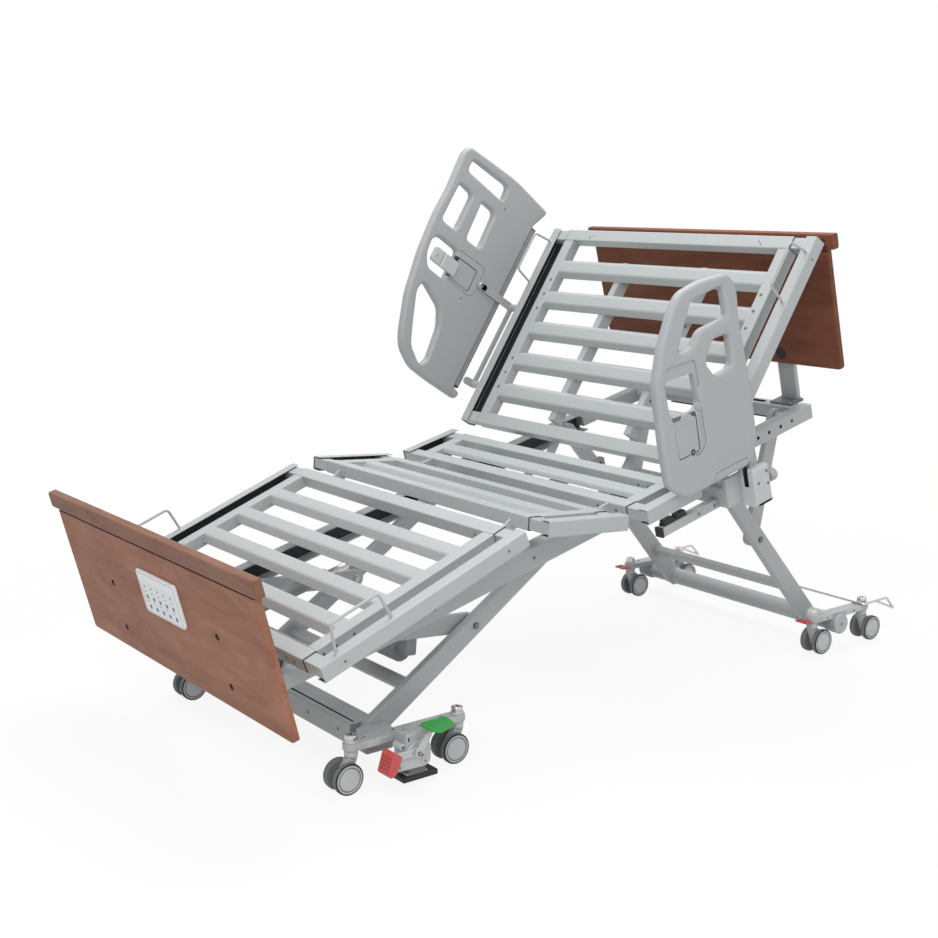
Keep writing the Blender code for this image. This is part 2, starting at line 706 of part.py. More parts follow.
RAIL_PIVOT = (0.602, 0.497)
post_outline = [(0.571, 0.421), (0.633, 0.421)]
post_outline += [
    (RAIL_PIVOT[0] + 0.031 * math.cos(math.radians(a)), RAIL_PIVOT[1] + 0.031 * math.sin(math.radians(a)))
    for a in range(0, 181, 20)
]
pieces = [plate([post_outline], "X", 0.5395, 0.5985)]
pieces.append(box((0.5155, 0.5515), (0.513, 0.592), (0.434, 0.4885)))
pieces.append(box((0.4860, 0.5215), (0.5135, 0.5915), (0.4563, 0.4880)))
pieces.append(box((0.5380, 0.5510), (0.5140, 0.5910), (0.480, 0.514)))
pieces.append(cylinder((0.569, 0.628, 0.477), (0.569, 0.655, 0.477), 0.009, 14))
pieces.append(cylinder((0.569, 0.652, 0.477), (0.569, 0.676, 0.477), 0.018, 20, 0.016))
rail_pin = cylinder((0.545, *RAIL_PIVOT), (0.594, *RAIL_PIVOT), 0.006, 16)
slot = box((0.5625, 0.5775), (0.55, 0.65), (RAIL_PIVOT[1] - 0.0205, 0.56))
body = boolean(pieces[0], pieces[1:], "UNION")
body = boolean(body, [slot], "DIFFERENCE")
part("near_rail_post", [body, rail_pin], rail_plastic, frame)

near_outline = [
    (0.603, 1.043), (0.624, 0.996), (0.616, 0.921), (0.622, 0.827), (0.626, 0.718), (0.623, 0.623),
    (0.584, 0.537), (0.347, 0.535), (0.292, 0.582), (0.292, 0.692), (0.301, 0.848), (0.339, 0.932),
    (0.390, 1.008), (0.426, 1.043), (0.498, 1.052),
]
near_holes = [
    [(0.460, 1.012), (0.574, 1.019), (0.576, 0.938), (0.479, 0.934), (0.435, 0.896), (0.389, 0.899)],
    [(0.513, 0.897), (0.573, 0.895), (0.569, 0.809), (0.506, 0.804), (0.479, 0.848)],
    [(0.334, 0.846), (0.434, 0.838), (0.438, 0.755), (0.418, 0.743), (0.335, 0.751)],
]
near_panel = [(0.338, 0.748), (0.4155, 0.741), (0.4125, 0.642), (0.340, 0.642)]
near_pocket = [(0.3365, 0.7650), (0.4180, 0.7650), (0.4145, 0.6405), (0.3380, 0.6405)]
rail_x = (NEAR_RAIL_X - RAIL_THICK / 2, NEAR_RAIL_X + RAIL_THICK / 2)
outlines = [rounded(near_outline, 0.020)] + [rounded(hole, 0.014) for hole in near_holes]
slab = plate(outlines, "X", *rail_x)
ear = plate([stadium((0.600, 0.580), RAIL_PIVOT, 0.012, 0.018)], "X", 0.5635, 0.5765)
pocket = plate([rounded(near_pocket, 0.008)], "X", rail_x[1] - 0.008, rail_x[1] + 0.005)
groove = box((rail_x[1] - 0.004, rail_x[1] + 0.01), (0.462, 0.578), (0.540, 0.556))
hole = cylinder((0.55, *RAIL_PIVOT), (0.59, *RAIL_PIVOT), 0.006 + FIT, 16)
rail_axis = empty("near_rail_axis", frame, (NEAR_RAIL_X, *RAIL_PIVOT))
at = (-NEAR_RAIL_X, -RAIL_PIVOT[0], -RAIL_PIVOT[1])
part("near_rail", [slab, ear], rail_plastic, rail_axis, at, [pocket, groove, hole])
latch = plate([rounded(near_panel, 0.0075)], "X", rail_x[1] - 0.0075, rail_x[1] - 0.0008)
part("near_rail_latch", [latch], rail_plastic, rail_axis, at)

# Far assist rail, carried by the backrest's right wing.
far_outline = [
    (0.753, 0.387), (0.767, 0.180), (0.752, 0.007), (0.682, 0.038), (0.088, 0.038), (0.081, 0.006),
    (0.056, 0.013), (0.055, 0.138), (0.059, 0.219), (0.092, 0.281), (0.131, 0.308), (0.247, 0.354),
    (0.386, 0.382), (0.510, 0.393), (0.601, 0.391), (0.726, 0.401),
]
far_holes = [
    [(0.725, 0.356), (0.731, 0.195), (0.679, 0.189), (0.685, 0.357)],
    [(0.637, 0.361), (0.632, 0.300), (0.504, 0.298), (0.505, 0.361)],
    [(0.635, 0.257), (0.632, 0.195), (0.506, 0.187), (0.503, 0.248)],
    [(0.391, 0.354), (0.440, 0.360), (0.456, 0.338), (0.454, 0.256), (0.352, 0.256), (0.354, 0.329)],
    [(0.309, 0.317), (0.269, 0.222), (0.217, 0.192), (0.109, 0.176), (0.083, 0.194), (0.121, 0.254), (0.184, 0.285), (0.277, 0.326)],
]
far_panel = [(0.438, 0.243), (0.440, 0.160), (0.368, 0.158), (0.370, 0.243)]
far_lever = [(0.378, 0.338), (0.424, 0.338), (0.424, 0.232), (0.376, 0.232)]
far_pocket = [(0.4400, 0.2680), (0.4420, 0.1585), (0.3665, 0.1565), (0.3680, 0.2680)]
FAR_PIVOT = (0.409, 0.127)
rail_x = (-FAR_RAIL_X - RAIL_THICK / 2, -FAR_RAIL_X + RAIL_THICK / 2)
corner = [0.02, 0.03, 0.02, 0.006, 0.006, 0.006, 0.006, 0.02, 0.02, 0.02, 0.02, 0.02, 0.02, 0.02, 0.02, 0.02]
outlines = [rounded(far_outline, corner)] + [rounded(hole, 0.016) for hole in far_holes]
slab = plate(outlines, "X", *rail_x)
pocket = plate([rounded(far_pocket, 0.008)], "X", rail_x[1] - 0.008, rail_x[1] + 0.005)
hole = cylinder((-0.64, *FAR_PIVOT), (-0.57, *FAR_PIVOT), 0.007 + FIT, 16)
far_axis = empty(
    "far_rail_axis", back_axis, (-FAR_RAIL_X, FAR_PIVOT[0] + BACK_AT[1], FAR_PIVOT[1] + BACK_AT[2])
)
at = (FAR_RAIL_X, -FAR_PIVOT[0], -FAR_PIVOT[1])
part("far_rail", [slab], rail_plastic, far_axis, at, [pocket, hole])
latch = plate([rounded(far_panel, 0.0075)], "X", rail_x[1] - 0.0075, rail_x[1] - 0.0008)
lever = plate([rounded(far_lever, 0.009)], "X", rail_x[1] - 0.0070, rail_x[1] + 0.0060)
part("far_rail_latch", [latch, lever], rail_plastic, far_axis, at)
bar = box((-FAR_RAIL_X - 0.009, -FAR_RAIL_X + 0.009), (0.092, 0.678), (0.0185, 0.0377), 0.003)
part("far_rail_bar", [bar], chrome, far_axis, at)

web = -DECK_HALF - FIT
pieces = []
for t, top in ((0.412, 0.115), (0.130, 0.012)):
    pieces.append(cylinder((web, t, -0.020), (-0.5790, t, -0.020), 0.012, 18))
    pieces.append(plate([stadium((t, -0.020), (t - 0.003, top), 0.0125, 0.012)], "X", -0.5825, -0.5765))
pieces.append(plate([stadium((0.412, -0.020), (0.130, -0.020), 0.009, 0.0089)], "X", -0.5820, -0.5770))
pieces.append(plate([stadium((0.409, 0.110), FAR_PIVOT, 0.012, 0.0125)], "X", -0.5825, -0.5765))
pieces.append(cylinder((-0.5780, *FAR_PIVOT), (-0.6200, *FAR_PIVOT), 0.007, 16))
pieces.append(cylinder((-0.6155, *FAR_PIVOT), (-0.6215, *FAR_PIVOT), 0.013, 16))
part("far_rail_mount", pieces, steel, back_axis, BACK_AT)


# Lift linkages.
def linkage(prefix, pin, toward, half_drop):
    """The axes of a strut and a link: toward is the way along the frame to the strut's top."""
    reach = toward * math.sqrt(ARM**2 - half_drop**2)
    middle = (pin[0] + reach, pin[1] - half_drop)
    link = empty(f"{prefix}_link_axis", frame, (0, *pin), math.atan2(-half_drop, reach))
    strut = empty(f"{prefix}_strut_axis", frame, (0, *middle), math.atan2(half_drop, reach))
    return link, strut, (pin[0], pin[1] - 2 * half_drop)


def strut_pieces(pin_u, base_radius):
    roller = BEAM_TOP - BEAM_WALL - FIT - pin_u
    found = []
    for side in (1, -1):
        x = across(side, STRUT_X - STRUT_SHEET, STRUT_X)
        found.append(plate([stadium((-ARM, 0), (ARM, 0), base_radius, 0.021)], "X", *x))
        found.append(cylinder((side * 0.290, ARM, 0), (side * 0.336, ARM, 0), 0.008, 14))
        found.append(cylinder((side * 0.309, ARM, 0), (side * 0.3355, ARM, 0), roller, 24))
    return found


def link_pieces():
    found = []
    for side in (1, -1):
        x = across(side, LINK_X - LINK_SHEET, LINK_X)
        found.append(plate([stadium((0, 0), (ARM, 0), LINK_WIDTH / 2, LINK_WIDTH / 2 + 0.003)], "X", *x))
        found.append(cylinder((side * 0.262, ARM, 0), (side * 0.304, ARM, 0), PIN_RADIUS, 16))
        found.append(cylinder((side * (STRUT_X + FIT), ARM, 0), (side * 0.3045, ARM, 0), 0.013, 16))
    found.append(cylinder((-0.262, 0.250, 0), (0.262, 0.250, 0), 0.015, 16))
    return found


def pivot_cuts(x, place):
    return [
        cylinder((side * x[0], *place), (side * x[1], *place), PIN_RADIUS + FIT) for side in (1, -1)
    ]


strut_span = (STRUT_X - STRUT_SHEET - 0.004, STRUT_X + 0.004)
link_span = (LINK_X - LINK_SHEET - 0.004, LINK_X + 0.004)
head_link, head_strut, head_base = linkage("head", head_pin, -1, HEAD_HALF_DROP)
foot_link, foot_strut, foot_base = linkage("foot", foot_pin, 1, FOOT_HALF_DROP)
part("head_link_frame", link_pieces(), steel, head_link, cuts=pivot_cuts(link_span, (0, 0)))
part("foot_link_frame", link_pieces(), steel, foot_link, cuts=pivot_cuts(link_span, (0, 0)))

pieces = strut_pieces(HEAD_LIFT_U, STRUT_WIDTH / 2)
pieces.append(cylinder((-0.4135, -ARM, 0), (0.4135, -ARM, 0), BASE_TUBE_RADIUS, 24))
pieces += both(lambda side: cylinder((side * 0.4125, -ARM, 0), (side * 0.421, -ARM, 0), 0.0305, 24))
pieces.append(box((-0.280, 0.280), (-0.243, -0.211), (-0.010, 0.010), 0.003))
part("head_strut_frame", pieces, steel, head_strut, cuts=pivot_cuts(strut_span, (0, 0)))

pieces = strut_pieces(FOOT_LIFT_U, STRUT_WIDTH / 2)
pieces.append(box((-0.280, 0.280), (-0.243, -0.211), (-0.010, 0.010), 0.003))
cuts = pivot_cuts(strut_span, (0, 0)) + pivot_cuts(strut_span, (-ARM, 0))
part("foot_strut_frame", pieces, steel, foot_strut, cuts=cuts)

motor = (0.2030, -0.0678)
pieces = [cylinder((0.085, *motor), (0.215, *motor), 0.029, 24)]
pieces.append(box((0.205, LINK_X - LINK_SHEET - FIT), (0.188, 0.222), (-0.072, 0.010), 0.003))
pieces.append(cylinder((0.1425, 0.2030, -0.0678), (0.1425, 0.060, -0.036), 0.013, 16))
part("foot_lift_motor", pieces, steel_dark, foot_link)

# Bases.
head_y, head_z = world(*head_base)
foot_y, foot_z = world(*foot_base)
head_axis = empty("head_base_axis", bed, (0, head_y, head_z))
foot_axis = empty("foot_base_axis", bed, (0, foot_y, foot_z))
head_at = (0, -head_y, -head_z)
foot_at = (0, -foot_y, -foot_z)
HEAD_STEMS = tuple(head_y + reach for reach in HEAD_STEM_REACH)
ARM_TOP = ARM_LOW + ARM_THICK
STEM_HOLE = 0.0105 + 2 * FIT


def stem_holes(side, places):
    x = side * CASTER_X
    return [cylinder((x, y, ARM_LOW - 0.03), (x, y, ARM_TOP + 0.02), STEM_HOLE, 12) for y in places]


def arm_plate(side, places, wide=0.020):
    x = side * CASTER_X
    outline = stadium((x, places[0]), (x, places[1]), wide, wide, 6)
    return plate([outline], "Z", ARM_LOW, ARM_TOP)


for side, word in ((1, "left"), (-1, "right")):
    pieces = [arm_plate(side, HEAD_STEMS)]
    sleeve = [circle((head_y, head_z), 0.0300, 24)]
    pieces.append(plate(sleeve, "X", *across(side, 0.3760, 0.4120)))
    pieces.append(
        box(across(side, 0.3775, 0.4105), (head_y - 0.0285, head_y + 0.0285), (head_z, ARM_LOW + 0.004))
    )
    cuts = stem_holes(side, HEAD_STEMS)
    ends = [(side * 0.36, head_y, head_z), (side * 0.43, head_y, head_z)]
    cuts.append(cylinder(*ends, BASE_TUBE_RADIUS + 2 * FIT, 24))
    part(f"head_bogie_{word}", pieces, steel, head_axis, head_at, cuts)

pieces = [
    box((-FOOT_BEAM_HALF, FOOT_BEAM_HALF), FOOT_BEAM, (FOOT_BEAM_LOW, 0.105), 0.004),
    *both(lambda side: arm_plate(side, FOOT_STEMS)),
    *both(lambda side: box(across(side, 0.330, 0.385), (-0.600, -0.532), (0.082, 0.103))),
]
cuts = stem_holes(1, FOOT_STEMS) + stem_holes(-1, FOOT_STEMS)
for side in (1, -1):
    x = across(side, STRUT_X - STRUT_SHEET - 0.0015, STRUT_X + 0.0015)
    cuts.append(box(x, (-0.64, -0.49), (0.0545, 0.13)))
cuts.append(box((-0.262, 0.262), (-0.590, -0.584), (0.090, 0.12)))
body = boolean(pieces[0], pieces[1:], "UNION")
body = boolean(body, cuts, "DIFFERENCE")
pins = both(
    lambda side: cylinder((side * 0.262, foot_y, foot_z), (side * 0.314, foot_y, foot_z), PIN_RADIUS)
)
part("foot_base", [body, *pins], steel, foot_axis, foot_at)


# Casters.
def caster(name, side, stem_y, toward):
    """A fork on its stem and a pair of wheels on one axle; toward is the way it trails."""
    x = side * CASTER_X
    swivel = empty(f"{name}_swivel_axis", bed, (x, stem_y, 0))
    axle_y = toward * TRAIL
    leg = stadium((axle_y, WHEEL_RADIUS), (0, 0.080), 0.015, 0.0105, 5)
    inner = WHEEL_GAP / 2 - FIT
    pieces = [plate([leg], "X", -inner, inner)]
    pieces.append(cylinder((0, 0, 0.074), (0, 0, ARM_TOP + 0.004), 0.0105, 12))
    pieces.append(cylinder((0, 0, 0.083), (0, 0, ARM_LOW - FIT), 0.016, 14))
    pieces.append(cylinder((0, 0, ARM_TOP + FIT), (0, 0, ARM_TOP + 0.019), 0.0165, 14, 0.0120))
    hole = cylinder((-0.03, axle_y, WHEEL_RADIUS), (0.03, axle_y, WHEEL_RADIUS), AXLE_RADIUS + FIT, 10)
    part(f"{name}_fork", pieces, steel, swivel, cuts=[hole])
    axle = empty(f"{name}_axle", swivel, (0, axle_y, WHEEL_RADIUS))
    pieces = [cylinder((-0.0150, 0, 0), (0.0150, 0, 0), AXLE_RADIUS, 10)]
    near, far = WHEEL_GAP / 2, WHEEL_GAP / 2 + WHEEL_WIDTH
    for way in (1, -1):
        pieces.append(cylinder((way * near, 0, 0), (way * far, 0, 0), WHEEL_RADIUS, 32))
    part(f"{name}_wheels", pieces, tyre, axle)


for side, word in ((1, "left"), (-1, "right")):
    caster(f"head_caster_{word}_a", side, HEAD_STEMS[0], 1)
    caster(f"head_caster_{word}_b", side, HEAD_STEMS[1], 1)
    caster(f"foot_caster_{word}_a", side, FOOT_STEMS[0], -1)
    caster(f"foot_caster_{word}_b", side, FOOT_STEMS[1], -1)

# Brake pedals at the head base.
for side, word in ((1, "left"), (-1, "right")):
    hinge = (HEAD_STEMS[0] - 0.0238, ARM_LOW + 0.008)
    axis = empty(f"head_pedal_{word}_axis", bed, (0, *hinge))
    pieces = [box(across(side, 0.366, 0.414), (-0.034, 0.000), (-0.003, 0.003), 0.002)]
    pieces.append(cylinder((side * 0.370, 0, 0), (side * 0.410, 0, 0), 0.0035, 12))
    part(f"head_pedal_{word}", pieces, red, axis)

# Lock bar across the head base, with a bent foot loop at each end.
BAR_RADIUS = 0.0038
BAR_X = 0.4145
bar_axis = (HEAD_STEMS[1] - 0.022, ARM_TOP + FIT + BAR_RADIUS)
axis = empty("head_lock_bar_axis", bed, (0, *bar_axis))
loop = [(0.0, 0.0), (0.112, 0.002), (0.150, -0.038), (0.062, -0.0005)]
left_loop = [(BAR_X, y, z) for y, z in loop]
path = [(-x, y, z) for x, y, z in reversed(left_loop)] + left_loop
part("head_lock_bar", [wire(bent(path, 0.006, 3), BAR_RADIUS)], chrome, axis)

# Foot lock unit with its pedals and floor pad.
LOCK_AXIS = (-0.548, 0.086)
arm_out = CASTER_X + 0.020 + FIT
pieces = [box((arm_out, 0.462), (-0.572, -0.503), (0.052, 0.130), 0.004)]
side_plate = [(-0.606, 0.047), (-0.520, 0.044), (-0.505, 0.052), (-0.503, 0.092), (-0.512, 0.103)]
side_plate += [(-0.530, 0.111), (-0.548, 0.109), (-0.566, 0.096), (-0.592, 0.070)]
pieces.append(plate([rounded(side_plate, 0.008)], "X", 0.460, 0.466))
pieces.append(cylinder((0.464, *LOCK_AXIS), (0.492, *LOCK_AXIS), 0.005, 16))
pieces.append(cylinder((0.425, -0.577, 0.099), (0.458, -0.577, 0.099), 0.0085, 14))
LOCK_WELL = ((0.424, 0.459), (-0.562, -0.513))
lock_cut = box(*LOCK_WELL, (0.020, 0.082))
part("foot_lock_unit", pieces, steel, foot_axis, foot_at, [lock_cut])
lock_axis = empty("lock_pedal_axis", bed, (0, *LOCK_AXIS))
at = (0, -LOCK_AXIS[0], -LOCK_AXIS[1])
lever = stadium(LOCK_AXIS, (-0.622, 0.086), 0.011, 0.009)
blade = [(-0.656, 0.066), (-0.648, 0.060), (-0.634, 0.066), (-0.617, 0.104), (-0.633, 0.117), (-0.641, 0.114)]
blade = rounded(blade, 0.004)
pieces = [plate([lever], "X", 0.4665, 0.4735), plate([blade], "X", 0.4670, 0.5150)]
hole = [cylinder((0.46, *LOCK_AXIS), (0.50, *LOCK_AXIS), 0.005 + FIT, 16)]
part("brake_pedal", pieces, red, lock_axis, at, hole)
lever = stadium(LOCK_AXIS, (-0.512, 0.138), 0.011, 0.007)
tread = rounded([(0.4645, -0.536), (0.512, -0.540), (0.534, -0.524), (0.516, -0.470), (0.4645, -0.461)], 0.010)
pieces = [plate([lever], "X", 0.4765, 0.4835), plate([tread], "Z", 0.1450, 0.1530)]
pieces.append(box((0.4768, 0.4832), (-0.518, -0.500), (0.130, 0.148)))
hole = [cylinder((0.46, *LOCK_AXIS), (0.50, *LOCK_AXIS), 0.005 + FIT, 16)]
part("steer_pedal", pieces, green, lock_axis, at, hole)
pieces = [box((0.4165, 0.4630), (-0.580, -0.481), (0.012, 0.026), 0.003)]
stem = [(low + FIT, high - FIT) for low, high in LOCK_WELL]
pieces.append(box(*stem, (0.024, 0.068)))
part("floor_pad", pieces, black, foot_axis, foot_at)

# Section actuators under the deck.
pieces = [box((-0.034, 0.034), (CROSS_S + CROSS_WIDTH + FIT, 0.352), (0.440, 0.480), 0.006)]
pieces.append(cylinder((0, 0.345, 0.457), (0, 0.475, 0.457), 0.0175, 24))
bore = cylinder((0, 0.330, 0.457), (0, 0.490, 0.457), 0.0100 + FIT, 20)
part("back_actuator", pieces, steel_dark, frame, cuts=[bore])
pieces = [cylinder((0, 0.400, 0.457), (0, 0.555, 0.457), 0.0100, 20)]
pieces.append(box((-0.012, 0.012), (0.545, 0.582), (0.444, 0.470), 0.003))
part("back_actuator_rod", pieces, chrome, frame)
knee_x = -0.100
pieces = [box((knee_x - 0.034, knee_x + 0.034), (-0.604 + FIT, -0.540), (0.452, 0.488), 0.006)]
pieces.append(cylinder((knee_x, -0.548, 0.462), (knee_x, -0.330, 0.462), 0.0175, 24))
bore = cylinder((knee_x, -0.520, 0.462), (knee_x, -0.310, 0.462), 0.0100 + FIT, 20)
part("knee_actuator", pieces, steel_dark, frame, cuts=[bore])
pieces = [cylinder((knee_x, -0.430, 0.462), (knee_x, -0.250, 0.462), 0.0100, 20)]
pieces.append(box((knee_x - 0.012, knee_x + 0.012), (-0.262, -0.225), (0.449, 0.475), 0.003))
part("knee_actuator_rod", pieces, chrome, frame)
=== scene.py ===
"""Looks of the adjustable hospital bed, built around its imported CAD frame."""

import logging  # noqa: E402
import math  # noqa: E402
from dataclasses import dataclass, field  # noqa: E402
from enum import Enum  # noqa: E402
from typing import Callable, Iterable, Sequence  # noqa: E402

import bmesh  # noqa: E402
import bpy  # noqa: E402
import numpy as np  # noqa: E402
from mathutils import Matrix, Vector  # noqa: E402


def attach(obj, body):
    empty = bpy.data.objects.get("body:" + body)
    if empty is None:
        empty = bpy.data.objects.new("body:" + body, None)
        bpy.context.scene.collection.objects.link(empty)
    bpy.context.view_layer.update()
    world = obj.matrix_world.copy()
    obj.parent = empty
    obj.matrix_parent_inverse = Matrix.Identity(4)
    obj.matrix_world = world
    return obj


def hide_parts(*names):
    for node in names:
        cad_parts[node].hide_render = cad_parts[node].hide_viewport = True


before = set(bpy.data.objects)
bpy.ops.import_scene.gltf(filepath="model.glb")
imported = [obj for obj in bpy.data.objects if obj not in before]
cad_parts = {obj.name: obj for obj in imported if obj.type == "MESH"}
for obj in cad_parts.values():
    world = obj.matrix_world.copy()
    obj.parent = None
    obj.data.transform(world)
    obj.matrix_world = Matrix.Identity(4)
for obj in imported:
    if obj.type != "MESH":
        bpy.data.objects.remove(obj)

logging.basicConfig(level=logging.INFO, format="%(message)s")
log = logging.getLogger("bed")

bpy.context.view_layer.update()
CENTRE = Vector((-0.0115, 0.1530, 0.0))
PITCH = math.radians(14.3)

Point2 = tuple[float, float]
Point3 = tuple[float, float, float]


class Finish(Enum):
    """The finishes named in the record's material slots."""

    STEEL = "painted_steel"
    STEEL_DARK = "painted_steel_dark"
    RAIL = "rail_plastic"
    WOOD = "wood_laminate"
    BLACK = "black_plastic"
    TYRE = "tyre_grey"
    RED = "red_plastic"
    GREEN = "green_plastic"
    PAD = "pad_plastic"
    CHROME = "chrome_steel"


@dataclass(frozen=True)
class Coat:
    """The look of one finish.

    Attributes:
        colour: Base colour, linear.
        second: A second colour that the base drifts to.
        drift: Size of the drift's patches, as a noise scale.
        roughness: Mean roughness.
        spread: How far the roughness moves about its mean.
        metallic: 0 or 1.
        bump: Strength of the fine bump.
        grain: Noise scale of the fine bump.
        edge: Radius of the shading's rounded edges, in metres.
        coat: Clear coat weight.
    """

    colour: Point3
    second: Point3
    drift: float = 6.0
    roughness: float = 0.45
    spread: float = 0.06
    metallic: float = 0.0
    bump: float = 0.03
    grain: float = 900.0
    edge: float = 0.0
    coat: float = 0.0


COATS: dict[str, Coat] = {
    "steel": Coat((0.430, 0.452, 0.455), (0.405, 0.428, 0.432), roughness=0.45, coat=0.06, edge=0.0012),
    "steel_shade": Coat((0.30, 0.318, 0.322), (0.27, 0.288, 0.292), roughness=0.5, edge=0.001),
    "steel_dark": Coat((0.15, 0.160, 0.163), (0.13, 0.140, 0.143), roughness=0.5, edge=0.001),
    "rail": Coat((0.395, 0.412, 0.420), (0.380, 0.397, 0.405), roughness=0.5, bump=0.06, grain=1400.0),
    "post": Coat(
        (0.52, 0.54, 0.545), (0.50, 0.52, 0.525), roughness=0.42, bump=0.05, grain=1400.0, edge=0.001
    ),
    "black": Coat((0.010, 0.010, 0.010), (0.016, 0.016, 0.016), roughness=0.6, bump=0.08, edge=0.0008),
    "tyre": Coat((0.175, 0.182, 0.185), (0.150, 0.157, 0.160), roughness=0.62, bump=0.1, grain=700.0),
    "hub": Coat((0.52, 0.535, 0.54), (0.49, 0.505, 0.51), roughness=0.45, bump=0.04, grain=1500.0),
    "red": Coat((0.56, 0.085, 0.078), (0.50, 0.070, 0.063), roughness=0.5, bump=0.05, edge=0.001),
    "red_shade": Coat((0.26, 0.036, 0.034), (0.22, 0.030, 0.028), roughness=0.55),
    "green": Coat((0.035, 0.36, 0.060), (0.028, 0.31, 0.050), roughness=0.5, bump=0.05, edge=0.001),
    "pad": Coat((0.80, 0.82, 0.825), (0.78, 0.80, 0.805), roughness=0.38, coat=0.1, edge=0.0008),
    "chrome": Coat(
        (0.62, 0.60, 0.58), (0.55, 0.53, 0.51), roughness=0.22, spread=0.08, metallic=1.0, bump=0.01
    ),
    "zinc": Coat((0.42, 0.41, 0.39), (0.36, 0.34, 0.32), roughness=0.35, spread=0.1, metallic=1.0, bump=0.03),
    "zinc_dark": Coat(
        (0.20, 0.20, 0.195), (0.16, 0.155, 0.15), roughness=0.4, spread=0.1, metallic=1.0, bump=0.03
    ),
    "rail_shade": Coat((0.17, 0.18, 0.185), (0.15, 0.16, 0.165), roughness=0.6, bump=0.05, grain=1400.0),
    "membrane": Coat((0.76, 0.785, 0.795), (0.74, 0.765, 0.775), roughness=0.4, spread=0.03, bump=0.01),
    "key": Coat((0.012, 0.100, 0.195), (0.015, 0.112, 0.210), roughness=0.45, bump=0.02),
    "key_pale": Coat((0.24, 0.26, 0.27), (0.22, 0.24, 0.25), roughness=0.45, bump=0.02),
    "shadow": Coat((0.032, 0.035, 0.037), (0.026, 0.029, 0.031), roughness=0.65, bump=0.02),
    # Painted shade: near black for the depths of holes, bores, slots, sockets and seams.
    "inside": Coat((0.022, 0.024, 0.025), (0.018, 0.020, 0.021), roughness=0.6),
}


WOODS: dict[str, tuple[Point3, Point3]] = {
    "wood": ((0.245, 0.101, 0.058), (0.390, 0.185, 0.120)),
    "wood_cap": ((0.185, 0.088, 0.055), (0.275, 0.140, 0.094)),
    # A darker copy of the wood for the headboard: painted shade.
    "wood_head": ((0.150, 0.050, 0.026), (0.235, 0.086, 0.048)),
    # Painted shade for the grooves under the caps.
    "wood_dark": ((0.085, 0.031, 0.018), (0.120, 0.048, 0.030)),
}


